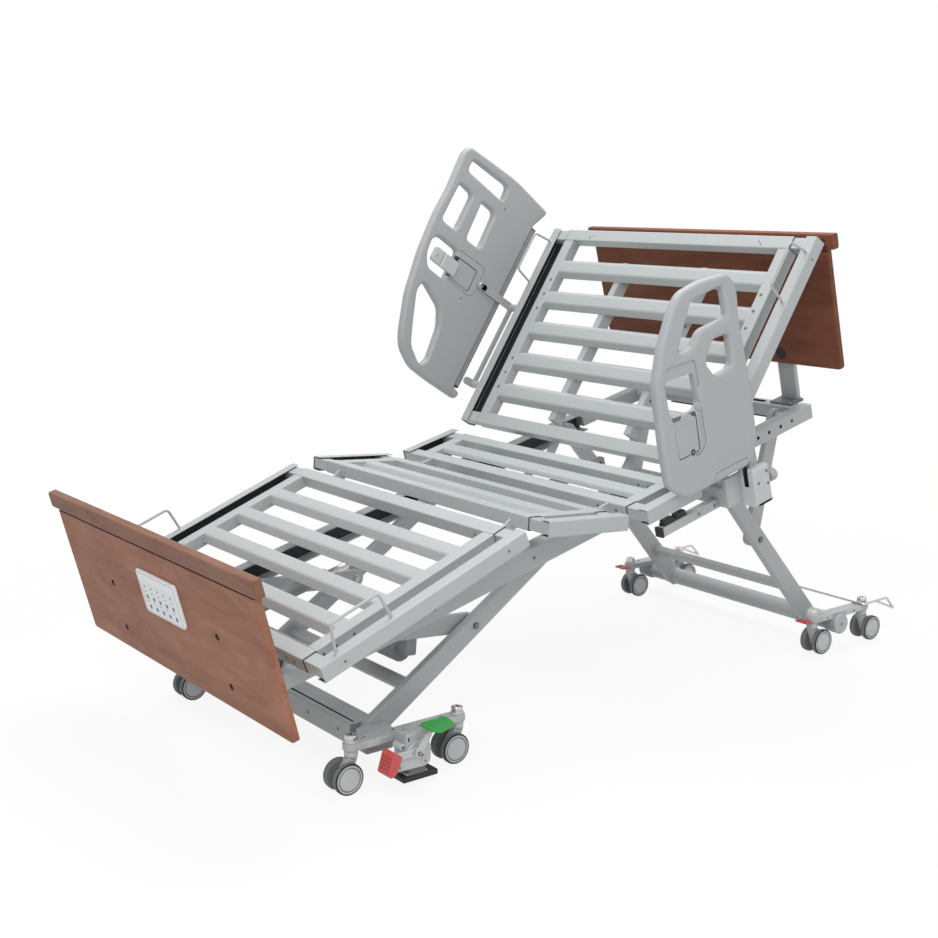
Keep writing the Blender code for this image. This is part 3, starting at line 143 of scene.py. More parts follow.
class Paints:
    """Builds each material once, from noise read in Object coordinates."""

    def __init__(self) -> None:
        """Starts with no material made."""
        self.made: dict[str, bpy.types.Material] = {}

    def __call__(self, name: str) -> bpy.types.Material:
        """The material of that name.

        Args:
            name: A key of COATS or of WOODS.

        Returns:
            The material, made on its first use.
        """
        if name not in self.made:
            self.made[name] = self._wood(name) if name in WOODS else self._coat(name)
        return self.made[name]

    @staticmethod
    def _start(name: str) -> tuple[bpy.types.Material, object, Callable]:
        """Starts a material.

        Args:
            name: First word of its name.

        Returns:
            The material, its shader, and a function that adds a node.
        """
        made = bpy.data.materials.new(f"{name}_finish")
        made.use_nodes = True
        tree = made.node_tree
        shader = tree.nodes["Principled BSDF"]

        def node(kind: str, **values: object) -> bpy.types.Node:
            """Adds a node.

            Args:
                kind: The node's type.
                **values: Values of its inputs, or else of its settings.

            Returns:
                The new node.
            """
            new = tree.nodes.new(kind)
            for key, value in values.items():
                if key in new.inputs:
                    new.inputs[key].default_value = value
                else:
                    setattr(new, key, value)
            return new

        return made, shader, node

    def _coat(self, name: str) -> bpy.types.Material:
        """A painted, moulded or metal finish: colour drift, rubbed spots and a fine bump.

        Args:
            name: A key of COATS.

        Returns:
            The material.
        """
        coat = COATS[name]
        made, shader, node = self._start(name)
        link = made.node_tree.links.new
        place = node("ShaderNodeTexCoord")
        drift = node("ShaderNodeTexNoise", Scale=coat.drift, Detail=4.0)
        link(place.outputs["Object"], drift.inputs["Vector"])
        ramp = node("ShaderNodeMix", data_type="RGBA")
        ramp.inputs["A"].default_value = (*coat.colour, 1.0)
        ramp.inputs["B"].default_value = (*coat.second, 1.0)
        link(drift.outputs["Fac"], ramp.inputs["Factor"])
        link(ramp.outputs["Result"], shader.inputs["Base Color"])
        rub = node("ShaderNodeTexNoise", Scale=38.0, Detail=5.0)
        link(place.outputs["Object"], rub.inputs["Vector"])
        span = node("ShaderNodeMapRange")
        span.inputs["To Min"].default_value = coat.roughness - coat.spread
        span.inputs["To Max"].default_value = coat.roughness + coat.spread
        link(rub.outputs["Fac"], span.inputs["Value"])
        link(span.outputs["Result"], shader.inputs["Roughness"])
        shader.inputs["Metallic"].default_value = coat.metallic
        shader.inputs["Coat Weight"].default_value = coat.coat
        shader.inputs["Coat Roughness"].default_value = 0.25
        peel = node("ShaderNodeTexNoise", Scale=coat.grain, Detail=3.0)
        link(place.outputs["Object"], peel.inputs["Vector"])
        bump = node("ShaderNodeBump", Strength=coat.bump, Distance=0.001)
        link(peel.outputs["Fac"], bump.inputs["Height"])
        if coat.edge:
            bevel = node("ShaderNodeBevel", Radius=coat.edge, samples=4)
            link(bevel.outputs["Normal"], bump.inputs["Normal"])
        link(bump.outputs["Normal"], shader.inputs["Normal"])
        return made

    def _wood(self, name: str) -> bpy.types.Material:
        """A wood laminate: a stretched noise for the figure and a finer one for the pores.

        Args:
            name: A key of WOODS.

        Returns:
            The material.
        """
        made, shader, node = self._start(name)
        link = made.node_tree.links.new
        place = node("ShaderNodeTexCoord")
        stretch = node("ShaderNodeMapping")
        stretch.inputs["Scale"].default_value = (0.9, 16.0, 16.0)
        link(place.outputs["Object"], stretch.inputs["Vector"])
        soft = node("ShaderNodeMapping")
        soft.inputs["Scale"].default_value = (1.6, 7.0, 5.5)
        link(place.outputs["Object"], soft.inputs["Vector"])
        figure = node("ShaderNodeTexNoise", Scale=2.4, Detail=7.0, Roughness=0.66, Distortion=0.6)
        link(soft.outputs["Vector"], figure.inputs["Vector"])
        ramp = node("ShaderNodeValToRGB")
        low, high = WOODS[name]
        stops = ramp.color_ramp.elements
        stops[0].position, stops[1].position = 0.34, 0.68
        stops[0].color, stops[1].color = (*low, 1), (*high, 1)
        link(figure.outputs["Fac"], ramp.inputs["Fac"])
        pores = node("ShaderNodeTexNoise", Scale=26.0, Detail=6.0, Roughness=0.7)
        link(stretch.outputs["Vector"], pores.inputs["Vector"])
        mix = node("ShaderNodeMix", data_type="RGBA", blend_type="MULTIPLY")
        mix.inputs["Factor"].default_value = 0.22
        shade = node("ShaderNodeValToRGB")
        shade.color_ramp.elements[0].position, shade.color_ramp.elements[1].position = 0.35, 0.62
        shade.color_ramp.elements[0].color = (0.55, 0.5, 0.48, 1)
        link(pores.outputs["Fac"], shade.inputs["Fac"])
        link(ramp.outputs["Color"], mix.inputs["A"])
        link(shade.outputs["Color"], mix.inputs["B"])
        link(mix.outputs["Result"], shader.inputs["Base Color"])
        shader.inputs["Roughness"].default_value = 0.55
        shader.inputs["Specular IOR Level"].default_value = 0.2
        bump = node("ShaderNodeBump", Strength=0.06, Distance=0.0006)
        link(pores.outputs["Fac"], bump.inputs["Height"])
        link(bump.outputs["Normal"], shader.inputs["Normal"])
        return made


paint = Paints()


@dataclass
class Stage:
    """Camera, floor, lights and background.

    Attributes:
        eye: Place of the camera.
        yaw: Its turn about the vertical, in degrees.
        pitch: How far it looks down, in degrees.
        lens: Focal length in millimetres, on a sensor 36 mm wide.
    """

    eye: Point3 = (3.0055, -2.4690, 1.352)
    yaw: float = 52.740
    pitch: float = 11.035
    lens: float = 54.26

    def build(self) -> None:
        """Puts the camera at the photograph's view and lights the bed softly."""
        data = bpy.data.cameras.new("camera")
        data.lens, data.sensor_width = self.lens, 36.0
        camera = bpy.data.objects.new("camera", data)
        bpy.context.scene.collection.objects.link(camera)
        camera.location = self.eye
        camera.rotation_euler = (math.radians(90 - self.pitch), 0.0, math.radians(self.yaw))
        bpy.context.scene.camera = camera
        self._floor()
        self._light("key", (2.6, -3.0, 3.0), (0.0, 0.0, 0.5), 2.4, 95.0)
        self._light("fill", (4.2, 1.4, 1.8), (0.0, 0.2, 0.6), 2.4, 26.0)
        self._light("top", (-0.6, 0.4, 4.2), (0.0, 0.1, 0.4), 3.0, 120.0)
        self._world()
        log.info("stage ready")

    @staticmethod
    def _light(name: str, place: Point3, aim: Point3, size: float, power: float) -> None:
        """Adds a square area light.

        Args:
            name: Its name.
            place: Where it hangs.
            aim: The point that it faces.
            size: Its side, in metres.
            power: Its power, in watts.
        """
        data = bpy.data.lights.new(name, "AREA")
        data.shape, data.size, data.energy = "SQUARE", size, power
        lamp = bpy.data.objects.new(name, data)
        bpy.context.scene.collection.objects.link(lamp)
        lamp.location = place
        lamp.rotation_euler = (Vector(aim) - Vector(place)).to_track_quat("-Z", "Y").to_euler()

    @staticmethod
    def _floor() -> None:
        """Adds the floor, which the camera sees fading to white away from the bed."""
        mesh = bpy.data.meshes.new("floor")
        mesh.from_pydata([(-9, -9, 0), (9, -9, 0), (9, 9, 0), (-9, 9, 0)], [], [(0, 1, 2, 3)])
        floor = bpy.data.objects.new("floor", mesh)
        bpy.context.scene.collection.objects.link(floor)
        made = bpy.data.materials.new("floor_finish")
        made.use_nodes = True
        tree = made.node_tree
        lit = tree.nodes["Principled BSDF"]
        lit.inputs["Roughness"].default_value = 0.9
        lit.inputs["Base Color"].default_value = (0.72, 0.72, 0.72, 1)
        shown = tree.nodes.new("ShaderNodeBsdfDiffuse")
        shown.inputs["Color"].default_value = (0.9, 0.9, 0.9, 1)
        white = tree.nodes.new("ShaderNodeEmission")
        veil = tree.nodes.new("ShaderNodeMixShader")
        place = tree.nodes.new("ShaderNodeTexCoord")
        length = tree.nodes.new("ShaderNodeVectorMath")
        length.operation = "LENGTH"
        fade = tree.nodes.new("ShaderNodeMapRange")
        fade.interpolation_type = "SMOOTHSTEP"
        for key, value in (("From Min", 0.9), ("From Max", 2.9), ("To Min", 0.88), ("To Max", 1.0)):
            fade.inputs[key].default_value = value
        tree.links.new(place.outputs["Object"], length.inputs[0])
        tree.links.new(length.outputs["Value"], fade.inputs["Value"])
        tree.links.new(fade.outputs["Result"], veil.inputs["Fac"])
        tree.links.new(shown.outputs["BSDF"], veil.inputs[1])
        tree.links.new(white.outputs["Emission"], veil.inputs[2])
        seen = Stage._seen(tree)
        mix = tree.nodes.new("ShaderNodeMixShader")
        tree.links.new(seen, mix.inputs["Fac"])
        tree.links.new(lit.outputs["BSDF"], mix.inputs[1])
        tree.links.new(veil.outputs["Shader"], mix.inputs[2])
        tree.links.new(mix.outputs["Shader"], tree.nodes["Material Output"].inputs["Surface"])
        mesh.materials.append(made)

    @staticmethod
    def _seen(tree: bpy.types.NodeTree) -> bpy.types.NodeSocket:
        """One where the ray comes from the camera, a mirror or glass.

        Args:
            tree: The node tree that it is added to.

        Returns:
            The socket that carries it.
        """
        path = tree.nodes.new("ShaderNodeLightPath")
        total = path.outputs["Is Camera Ray"]
        for name in ("Is Glossy Ray", "Is Transmission Ray"):
            step = tree.nodes.new("ShaderNodeMath")
            step.operation, step.use_clamp = "ADD", True
            tree.links.new(total, step.inputs[0])
            tree.links.new(path.outputs[name], step.inputs[1])
            total = step.outputs["Value"]
        return total

    @staticmethod
    def _world() -> None:
        """Sets a soft, even light, and plain white where the camera sees past the floor."""
        world = bpy.data.worlds.new("studio")
        bpy.context.scene.world = world
        world.use_nodes = True
        tree = world.node_tree
        tree.nodes.clear()
        out = tree.nodes.new("ShaderNodeOutputWorld")
        light = tree.nodes.new("ShaderNodeBackground")
        light.inputs["Color"].default_value = (0.98, 0.99, 1.0, 1)
        light.inputs["Strength"].default_value = 0.40
        white = tree.nodes.new("ShaderNodeBackground")
        white.inputs["Color"].default_value = (1, 1, 1, 1)
        mix = tree.nodes.new("ShaderNodeMixShader")
        tree.links.new(Stage._seen(tree), mix.inputs["Fac"])
        tree.links.new(light.outputs["Background"], mix.inputs[1])
        tree.links.new(white.outputs["Background"], mix.inputs[2])
        tree.links.new(mix.outputs["Shader"], out.inputs["Surface"])
        scene = bpy.context.scene
        scene.view_settings.view_transform = "Standard"
        scene.view_settings.look = "None"


# Places: matrices from a local frame to the world.
def moved(x: float = 0.0, y: float = 0.0, z: float = 0.0) -> Matrix:
    """A shift."""
    return Matrix.Translation((x, y, z))


def turned(degrees: float) -> Matrix:
    """A turn about X."""
    return Matrix.Rotation(math.radians(degrees), 4, "X")


WORLD = moved(*(-CENTRE))
FRAME = WORLD @ Matrix.Rotation(PITCH, 4, "X")
BACK = FRAME @ moved(0, 0.484, 0.5505) @ turned(42.74)
SEAT = FRAME @ moved(0, 0.250, 0.532)
THIGH = FRAME @ moved(0, 0.1914, 0.5446) @ turned(-18.76)
FOOT = THIGH @ moved(0, -0.3295, -0.0186) @ turned(25.54)


@dataclass
class Shape:
    """A surface under construction, in a local frame.

    Attributes:
        points: Vertex places.
        faces: Vertex indices of each face.
        paints: The paint of each face, by name.
    """

    points: list[Point3] = field(default_factory=list)
    faces: list[tuple[int, ...]] = field(default_factory=list)
    paints: list[str] = field(default_factory=list)

    def add(self, points: Iterable[Point3], faces: Iterable[Sequence[int]], paint_name: str) -> "Shape":
        """Adds a patch of surface.

        Args:
            points: Its vertices.
            faces: Its faces, numbered from the patch's own first vertex.
            paint_name: The finish that it takes.

        Returns:
            This shape.
        """
        base = len(self.points)
        self.points.extend(tuple(p) for p in points)
        for face in faces:
            self.faces.append(tuple(base + i for i in face))
            self.paints.append(paint_name)
        return self

    def join(self, *others: "Shape") -> "Shape":
        """Takes over the surfaces of the other shapes.

        Args:
            *others: The shapes to take over.

        Returns:
            This shape.
        """
        for other in others:
            base = len(self.points)
            self.points.extend(other.points)
            self.faces.extend(tuple(base + i for i in face) for face in other.faces)
            self.paints.extend(other.paints)
        return self

    def at(self, matrix: Matrix) -> "Shape":
        """Moves the shape in place: each point p becomes M p.

        Args:
            matrix: The matrix M.

        Returns:
            This shape.
        """
        turn = np.array(matrix, dtype=np.float32)
        places = np.asarray(self.points, dtype=np.float32)[:, None, :]
        shifted = (turn[:3, :3] * places).sum(axis=-1, dtype=float) + turn[:3, 3]
        self.points = [tuple(p) for p in shifted.astype(np.float32).tolist()]
        return self


def eased(first: Vector, here: Vector, last: Vector, steps: int) -> list[tuple[float, ...]]:
    """A corner as a parabola: p(f) = (1 - f)^2 first + 2 f (1 - f) here + f^2 last.

    Args:
        first: Where the curve starts.
        here: The corner itself.
        last: Where the curve ends.
        steps: Segments of the curve.

    Returns:
        The curve's points.
    """
    shares = [k / steps for k in range(steps + 1)]
    return [tuple(first * (1 - f) ** 2 + here * 2 * f * (1 - f) + last * f * f) for f in shares]


def rounded(points: Sequence[Point2], radius: float | Sequence[float], steps: int = 4) -> list[Point2]:
    """The outline with its corners rounded.

    Args:
        points: Corners, in order.
        radius: One radius, or one for each corner.
        steps: Segments of each rounding.

    Returns:
        The rounded outline.
    """
    found: list[Point2] = []
    count = len(points)
    for i, point in enumerate(points):
        here = Vector(point)
        before, after = Vector(points[i - 1]) - here, Vector(points[(i + 1) % count]) - here
        size = radius[i] if isinstance(radius, (list, tuple)) else radius
        size = min(size, 0.48 * before.length, 0.48 * after.length)
        if size <= 0:
            found.append(tuple(here))
            continue
        found += eased(here + before.normalized() * size, here, here + after.normalized() * size, steps)
    return found


def circle(middle: Point2, radius: float, sides: int = 32) -> list[Point2]:
    """A round outline: point k lies at the angle 2 pi k / sides.

    Args:
        middle: Its middle.
        radius: Its radius.
        sides: Number of points.

    Returns:
        The outline.
    """
    turn = 2 * math.pi / sides
    return [
        (middle[0] + radius * math.cos(turn * k), middle[1] + radius * math.sin(turn * k))
        for k in range(sides)
    ]


def stadium(start: Point2, end: Point2, first: float, last: float, steps: int = 12) -> list[Point2]:
    """Two round ends joined by straight sides.

    Args:
        start: Middle of the first end.
        end: Middle of the last end.
        first: Radius of the first end.
        last: Radius of the last end.
        steps: Segments of each end.

    Returns:
        The outline.
    """
    way = Vector(end) - Vector(start)
    heading, lean = math.atan2(way.y, way.x), math.acos((first - last) / way.length)
    found = []
    for k in range(steps + 1):
        a = heading - lean + 2 * lean * k / steps
        found.append((end[0] + last * math.cos(a), end[1] + last * math.sin(a)))
    for k in range(steps + 1):
        a = heading + lean + 2 * (math.pi - lean) * k / steps
        found.append((start[0] + first * math.cos(a), start[1] + first * math.sin(a)))
    return found


def rectangle(x: Point2, y: Point2, radius: float = 0.0, steps: int = 4) -> list[Point2]:
    """A rectangle as an outline, with rounded corners.

    Args:
        x: Its first stretch.
        y: Its second stretch.
        radius: Radius of the corners.
        steps: Segments of each corner.

    Returns:
        The outline.
    """
    corners = [(x[0], y[0]), (x[1], y[0]), (x[1], y[1]), (x[0], y[1])]
    return rounded(corners, radius, steps) if radius else corners


# Directions, and for each axis the two ways of an outline and the way that it is extruded.
TO_LEFT, TO_HEAD, TO_FOOT, UP, DOWN = (1, 0, 0), (0, 1, 0), (0, -1, 0), (0, 0, 1), (0, 0, -1)
ALONG_X, ALONG_Y, ALONG_Z = Vector(TO_LEFT), Vector(TO_HEAD), Vector(UP)
AXES = {
    "X": (ALONG_Y, ALONG_Z, ALONG_X),
    "Y": (ALONG_X, ALONG_Z, ALONG_Y),
    "Z": (ALONG_X, ALONG_Y, ALONG_Z),
}
# Points of a mesh that lie nearer than this are one.
MERGE = 0.000002


def plate(
    outlines: Sequence[Sequence[Point2]], axis: str, start: float, end: float, paint_name: str,
    edge: float = 0.0, rings: int = 2,
) -> Shape:
    """Flat outlines extruded along an axis, with rounded rims.

    Args:
        outlines: The outside, then any holes; (y, z) for axis X, (x, z) for Y and (x, y) for Z.
        axis: "X", "Y" or "Z".
        start: Lowest place along the axis.
        end: Highest place along the axis.
        paint_name: Finish.
        edge: Radius of the rims.
        rings: Segments of the rims' rounding.

    Returns:
        The closed shape.
    """
    curve = bpy.data.curves.new("outline", "CURVE")
    curve.dimensions, curve.fill_mode = "2D", "BOTH"
    for points in outlines:
        spline = curve.splines.new("POLY")
        spline.points.add(len(points) - 1)
        spline.points.foreach_set("co", [v for a, b in points for v in (a, b, 0.0, 1.0)])
        spline.use_cyclic_u = True
    curve.extrude = abs(end - start) / 2 - edge
    if edge:
        curve.bevel_depth, curve.bevel_resolution, curve.offset = edge, rings, -edge
    guide = bpy.data.objects.new("guide", curve)
    bpy.context.scene.collection.objects.link(guide)
    mesh = guide.evaluated_get(bpy.context.evaluated_depsgraph_get()).to_mesh()
    a_way, b_way, c_way = AXES[axis]
    middle = (start + end) / 2
    points = [tuple(a_way * v.co.x + b_way * v.co.y + c_way * (v.co.z + middle)) for v in mesh.vertices]
    faces = [tuple(p.vertices) for p in mesh.polygons]
    shape = Shape().add(points, faces, paint_name)
    bpy.data.objects.remove(guide, do_unlink=True)
    bpy.data.curves.remove(curve)
    return shape


def block(x: Point2, y: Point2, z: Point2, paint_name: str, edge: float = 0.0015, rings: int = 2) -> Shape:
    """A box with rounded edges all round.

    Args:
        x: Its stretch along X.
        y: Its stretch along Y.
        z: Its stretch along Z.
        paint_name: Finish.
        edge: Width of the edges' rounding.
        rings: Segments of the rounding.

    Returns:
        The closed shape.
    """
    work = bmesh.new()
    bmesh.ops.create_cube(work, size=1.0)
    bmesh.ops.scale(work, vec=(x[1] - x[0], y[1] - y[0], z[1] - z[0]), verts=work.verts)
    bmesh.ops.translate(work, vec=(sum(x) / 2, sum(y) / 2, sum(z) / 2), verts=work.verts)
    if edge:
        bmesh.ops.bevel(work, geom=work.edges[:], offset=edge, segments=rings, affect="EDGES", profile=0.5)
    work.verts.index_update()
    shape = Shape().add(
        [tuple(v.co) for v in work.verts], [[v.index for v in f.verts] for f in work.faces], paint_name
    )
    work.free()
    return shape


def ring_points(
    centres: Sequence[Vector], firsts: Sequence[Vector], seconds: Sequence[Vector],
    radii: Sequence[float], sides: int,
) -> np.ndarray:
    """Rings of points, one for each centre.

    Point k of ring i is c_i + r_i (f_i cos a_k + s_i sin a_k), with a_k = 2 pi k / sides.

    Args:
        centres: Middle of each ring.
        firsts: A unit vector in each ring's plane.
        seconds: The unit vector square to it.
        radii: Radius of each ring.
        sides: Points in a ring.

    Returns:
        The points, ring after ring.
    """
    turn = 2 * np.pi * np.arange(sides) / sides
    cosines = np.cos(turn).astype(np.float32)[:, None]
    sines = np.sin(turn).astype(np.float32)[:, None]
    middle, first, second = (np.array(v, dtype=np.float32)[:, None, :] for v in (centres, firsts, seconds))
    size = np.array(radii, dtype=np.float32)[:, None, None]
    return (middle + (first * cosines + second * sines) * size).reshape(-1, 3)


def skin(count: int, sides: int) -> list[tuple[int, ...]]:
    """Faces between rings that follow one another, with a cap on each end.

    Args:
        count: Number of rings.
        sides: Points in a ring.

    Returns:
        The faces, as indices into the rings' points.
    """
    row, k = np.meshgrid(np.arange(count - 1), np.arange(sides), indexing="ij")
    after = (k + 1) % sides
    quads = np.stack(
        [row * sides + k, row * sides + after, (row + 1) * sides + after, (row + 1) * sides + k], -1
    )
    last = (count - 1) * sides
    caps = [tuple(range(sides))[::-1], tuple(range(last, last + sides))]
    return [tuple(face) for face in quads.reshape(-1, 4).tolist()] + caps


def lathe(profile: Sequence[Point2], start: Point3, way: Point3, paint_name: str, sides: int = 32) -> Shape:
    """A profile of (radius, distance) turned about the axis that runs from start along way.

    Args:
        profile: The radius and the distance along the axis of each ring.
        start: Where the axis starts.
        way: Its direction.
        paint_name: Finish.
        sides: Points in a ring.

    Returns:
        The closed shape.
    """
    axis = Vector(way).normalized()
    side = axis.orthogonal().normalized()
    count = len(profile)
    centres = [Vector(start) + axis * along for _, along in profile]
    radii = [radius for radius, _ in profile]
    points = ring_points(centres, [side] * count, [axis.cross(side)] * count, radii, sides)
    return Shape().add(points.tolist(), skin(count, sides), paint_name)


def rod(
    start: Point3, end: Point3, radius: float, paint_name: str, sides: int = 24, edge: float = 0.0006
) -> Shape:
    """A round bar with eased ends.

    Args:
        start: Middle of one end.
        end: Middle of the other end.
        radius: Its radius.
        paint_name: Finish.
        sides: Points in a ring.
        edge: Width of the ends' easing.

    Returns:
        The closed shape.
    """
    way = Vector(end) - Vector(start)
    long = way.length
    profile = [(radius - edge, 0.0), (radius, edge), (radius, long - edge), (radius - edge, long)]
    return lathe(profile, start, tuple(way), paint_name, sides)


def sweep(path: Sequence[Point3], radius: float, paint_name: str, sides: int = 12) -> Shape:
    """A round wire along a path, its ring carried from point to point without twist.

    Args:
        path: The middle of the wire.
        radius: Its radius.
        paint_name: Finish.
        sides: Points in a ring.

    Returns:
        The closed shape.
    """
    spots = [Vector(p) for p in path]
    side = (spots[1] - spots[0]).orthogonal().normalized()
    firsts, seconds = [], []
    for i in range(len(spots)):
        way = (spots[min(i + 1, len(spots) - 1)] - spots[max(i - 1, 0)]).normalized()
        side = (side - way * side.dot(way)).normalized()
        firsts.append(side)
        seconds.append(way.cross(side))
    points = ring_points(spots, firsts, seconds, [radius] * len(spots), sides)
    return Shape().add(points.tolist(), skin(len(spots), sides), paint_name)


def bent(points: Sequence[Point3], radius: float, steps: int = 6) -> list[Point3]:
    """An open path with its inner corners rounded as parabolas.

    Args:
        points: The path's corners.
        radius: How far from a corner its rounding starts.
        steps: Segments of each rounding.

    Returns:
        The rounded path.
    """
    found = [tuple(points[0])]
    for i in range(1, len(points) - 1):
        here = Vector(points[i])
        before, after = Vector(points[i - 1]) - here, Vector(points[i + 1]) - here
        found += eased(here + before.normalized() * radius, here, here + after.normalized() * radius, steps)
    found.append(tuple(points[-1]))
    return found


def hollow(x: Point2, z: Point2, wall: float, radius: float) -> list[list[Point2]]:
    """The outer and inner outline of a rectangular tube.

    Args:
        x: Its first stretch.
        z: Its second stretch.
        wall: Thickness of the wall.
        radius: Outer corner radius.

    Returns:
        The two outlines.
    """
    inner = (x[0] + wall, x[1] - wall), (z[0] + wall, z[1] - wall)
    return [rectangle(x, z, radius), rectangle(*inner, max(radius - wall, 0.0006))]


def hole_mark(place: Point3, way: Point3, radius: float, paint_name: str = "inside") -> Shape:
    """A drilled hole as it shows on a wall: a floor of painted shade behind a thin turned rim.

    Args:
        place: Its middle on the wall.
        way: The direction that the wall faces.
        radius: Radius of the hole.
        paint_name: Finish of the floor, painted shade unless given.

    Returns:
        The shape.
    """
    rim = lathe(
        [(radius, -0.0004), (radius + 0.0007, 0.0003), (radius, 0.0005), (radius - 0.0002, 0.0002)], place,
        way, "steel_shade", 20
    )
    floor = lathe([(radius - 0.0001, 0.0001), (radius * 0.5, 0.00022)], place, way, paint_name, 20)
    return rim.join(floor)


def screw(
    place: Point3, way: Point3, radius: float, paint_name: str = "zinc", height: float = 0.003
) -> Shape:
    """A domed screw head with a hexagon socket drawn as a disc of painted shade.

    Args:
        place: Middle of its seat.
        way: The direction that it faces.
        radius: Its radius.
        paint_name: Finish.
        height: Height of the dome.

    Returns:
        The shape.
    """
    dome = [(radius, 0.0), (radius, height * 0.4), (radius * 0.86, height * 0.82), (radius * 0.45, height)]
    head = lathe(dome, place, way, paint_name, 24)
    top = Vector(place) + Vector(way).normalized() * (height + 0.0001)
    return head.join(lathe([(radius * 0.42, 0.0), (radius * 0.36, 0.0001)], tuple(top), way, "inside", 6))


def bolt(place: Point3, way: Point3, radius: float, height: float, paint_name: str = "zinc") -> Shape:
    """A hexagon nut on a washer, with the end of its bolt.

    Args:
        place: Middle of its seat.
        way: The direction that it faces.
        radius: The nut's radius over its corners.
        height: The nut's height.
        paint_name: Finish.

    Returns:
        The shape.
    """
    washer = lathe(
        [(radius * 1.45, 0.0), (radius * 1.45, 0.0012), (radius * 1.2, 0.0016)], place, way, paint_name, 28
    )
    start = tuple(Vector(place) + Vector(way).normalized() * 0.0012)
    nut = lathe([(radius, 0.0), (radius, height * 0.8), (radius * 0.82, height)], start, way, paint_name, 6)
    tip = tuple(Vector(place) + Vector(way).normalized() * height)
    return washer.join(
        nut, lathe([(radius * 0.5, 0.0), (radius * 0.45, height * 0.35)], tip, way, paint_name, 16)
    )


def meshed(
    name: str, shape: Shape, names: Sequence[str], materials: Sequence[bpy.types.Material]
) -> bpy.types.Object:
    """Puts a shape into a new object, with doubled points merged and the faces turned outward.

    Args:
        name: Name of the object and of its mesh.
        shape: The surface.
        names: The paint of each material slot, by name.
        materials: The material of each slot.

    Returns:
        The new object.
    """
    mesh = bpy.data.meshes.new(name)
    mesh.from_pydata(shape.points, [], shape.faces)
    for material in materials:
        mesh.materials.append(material)
    mesh.polygons.foreach_set("material_index", [names.index(key) for key in shape.paints])
    work = bmesh.new()
    work.from_mesh(mesh)
    bmesh.ops.remove_doubles(work, verts=work.verts, dist=MERGE)
    bmesh.ops.recalc_face_normals(work, faces=work.faces)
    work.to_mesh(mesh)
    work.free()
    made = bpy.data.objects.new(name, mesh)
    bpy.context.scene.collection.objects.link(made)
    return made


def piece(
    name: str, shape: Shape, matrix: Matrix, body: str,
    replaces: Sequence[str] = (), angle: float = 32.0,
) -> bpy.types.Object:
    """Turns a shape into a finished object that rides on a CAD body.

    Args:
        name: The object's name.
        shape: Its surface, in a local frame.
        matrix: From that frame to the world.
        body: The CAD body that carries it.
        replaces: CAD nodes that it stands for.
        angle: Edges sharper than this stay sharp, in degrees.

    Returns:
        The new object.
    """
    shape.at(matrix)
    names = sorted(set(shape.paints))
    made = meshed(name, shape, names, [paint(key) for key in names])
    made.data.shade_smooth()
    made.data.set_sharp_from_angle(angle=math.radians(angle))
    shading = made.modifiers.new("shading", "WEIGHTED_NORMAL")
    shading.keep_sharp = True
    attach(made, body)
    if replaces:
        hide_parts(*replaces)
    log.info("%s: %d faces on %s", name, len(made.data.polygons), body)
    return made


def across(side: int, inner: float, outer: float) -> Point2:
    """A stretch along X on one side, lowest first."""
    return tuple(sorted((side * inner, side * outer)))


def mirrored(outline: Sequence[Point2], side: int) -> list[Point2]:
    """An outline drawn for the left, put on one side with its turning sense kept."""
    found = [(side * x, z) for x, z in outline]
    return found if side > 0 else found[::-1]


def run(way: int, start: float, end: float) -> Point2:
    """A stretch along a deck section, lowest first."""
    return tuple(sorted((way * start, way * end)))


def carved(shape: Shape, *cutters: Shape) -> Shape:
    """The shape with the cutters taken out of it, as an exact Boolean difference.

    Args:
        shape: A closed shape.
        cutters: Closed shapes; a cut face takes its cutter's finish.

    Returns:
        The carved shape.
    """
    names = sorted(set(shape.paints).union(*(set(cutter.paints) for cutter in cutters)))
    slots = [bpy.data.materials.new(f"slot_{key}") for key in names]

    base = meshed("body", shape, names, slots)
    tools = [meshed("body", cutter, names, slots) for cutter in cutters]
    for tool in tools:
        step = base.modifiers.new("cut", "BOOLEAN")
        step.operation, step.solver, step.object = "DIFFERENCE", "EXACT", tool
    mesh = bpy.data.meshes.new_from_object(base.evaluated_get(bpy.context.evaluated_depsgraph_get()))
    found = Shape([tuple(v.co) for v in mesh.vertices], [tuple(p.vertices) for p in mesh.polygons])
    found.paints = [names[p.material_index] for p in mesh.polygons]
    for made in (base, *tools):
        bpy.data.objects.remove(made, do_unlink=True)
    for slot in slots:
        bpy.data.materials.remove(slot)
    return found


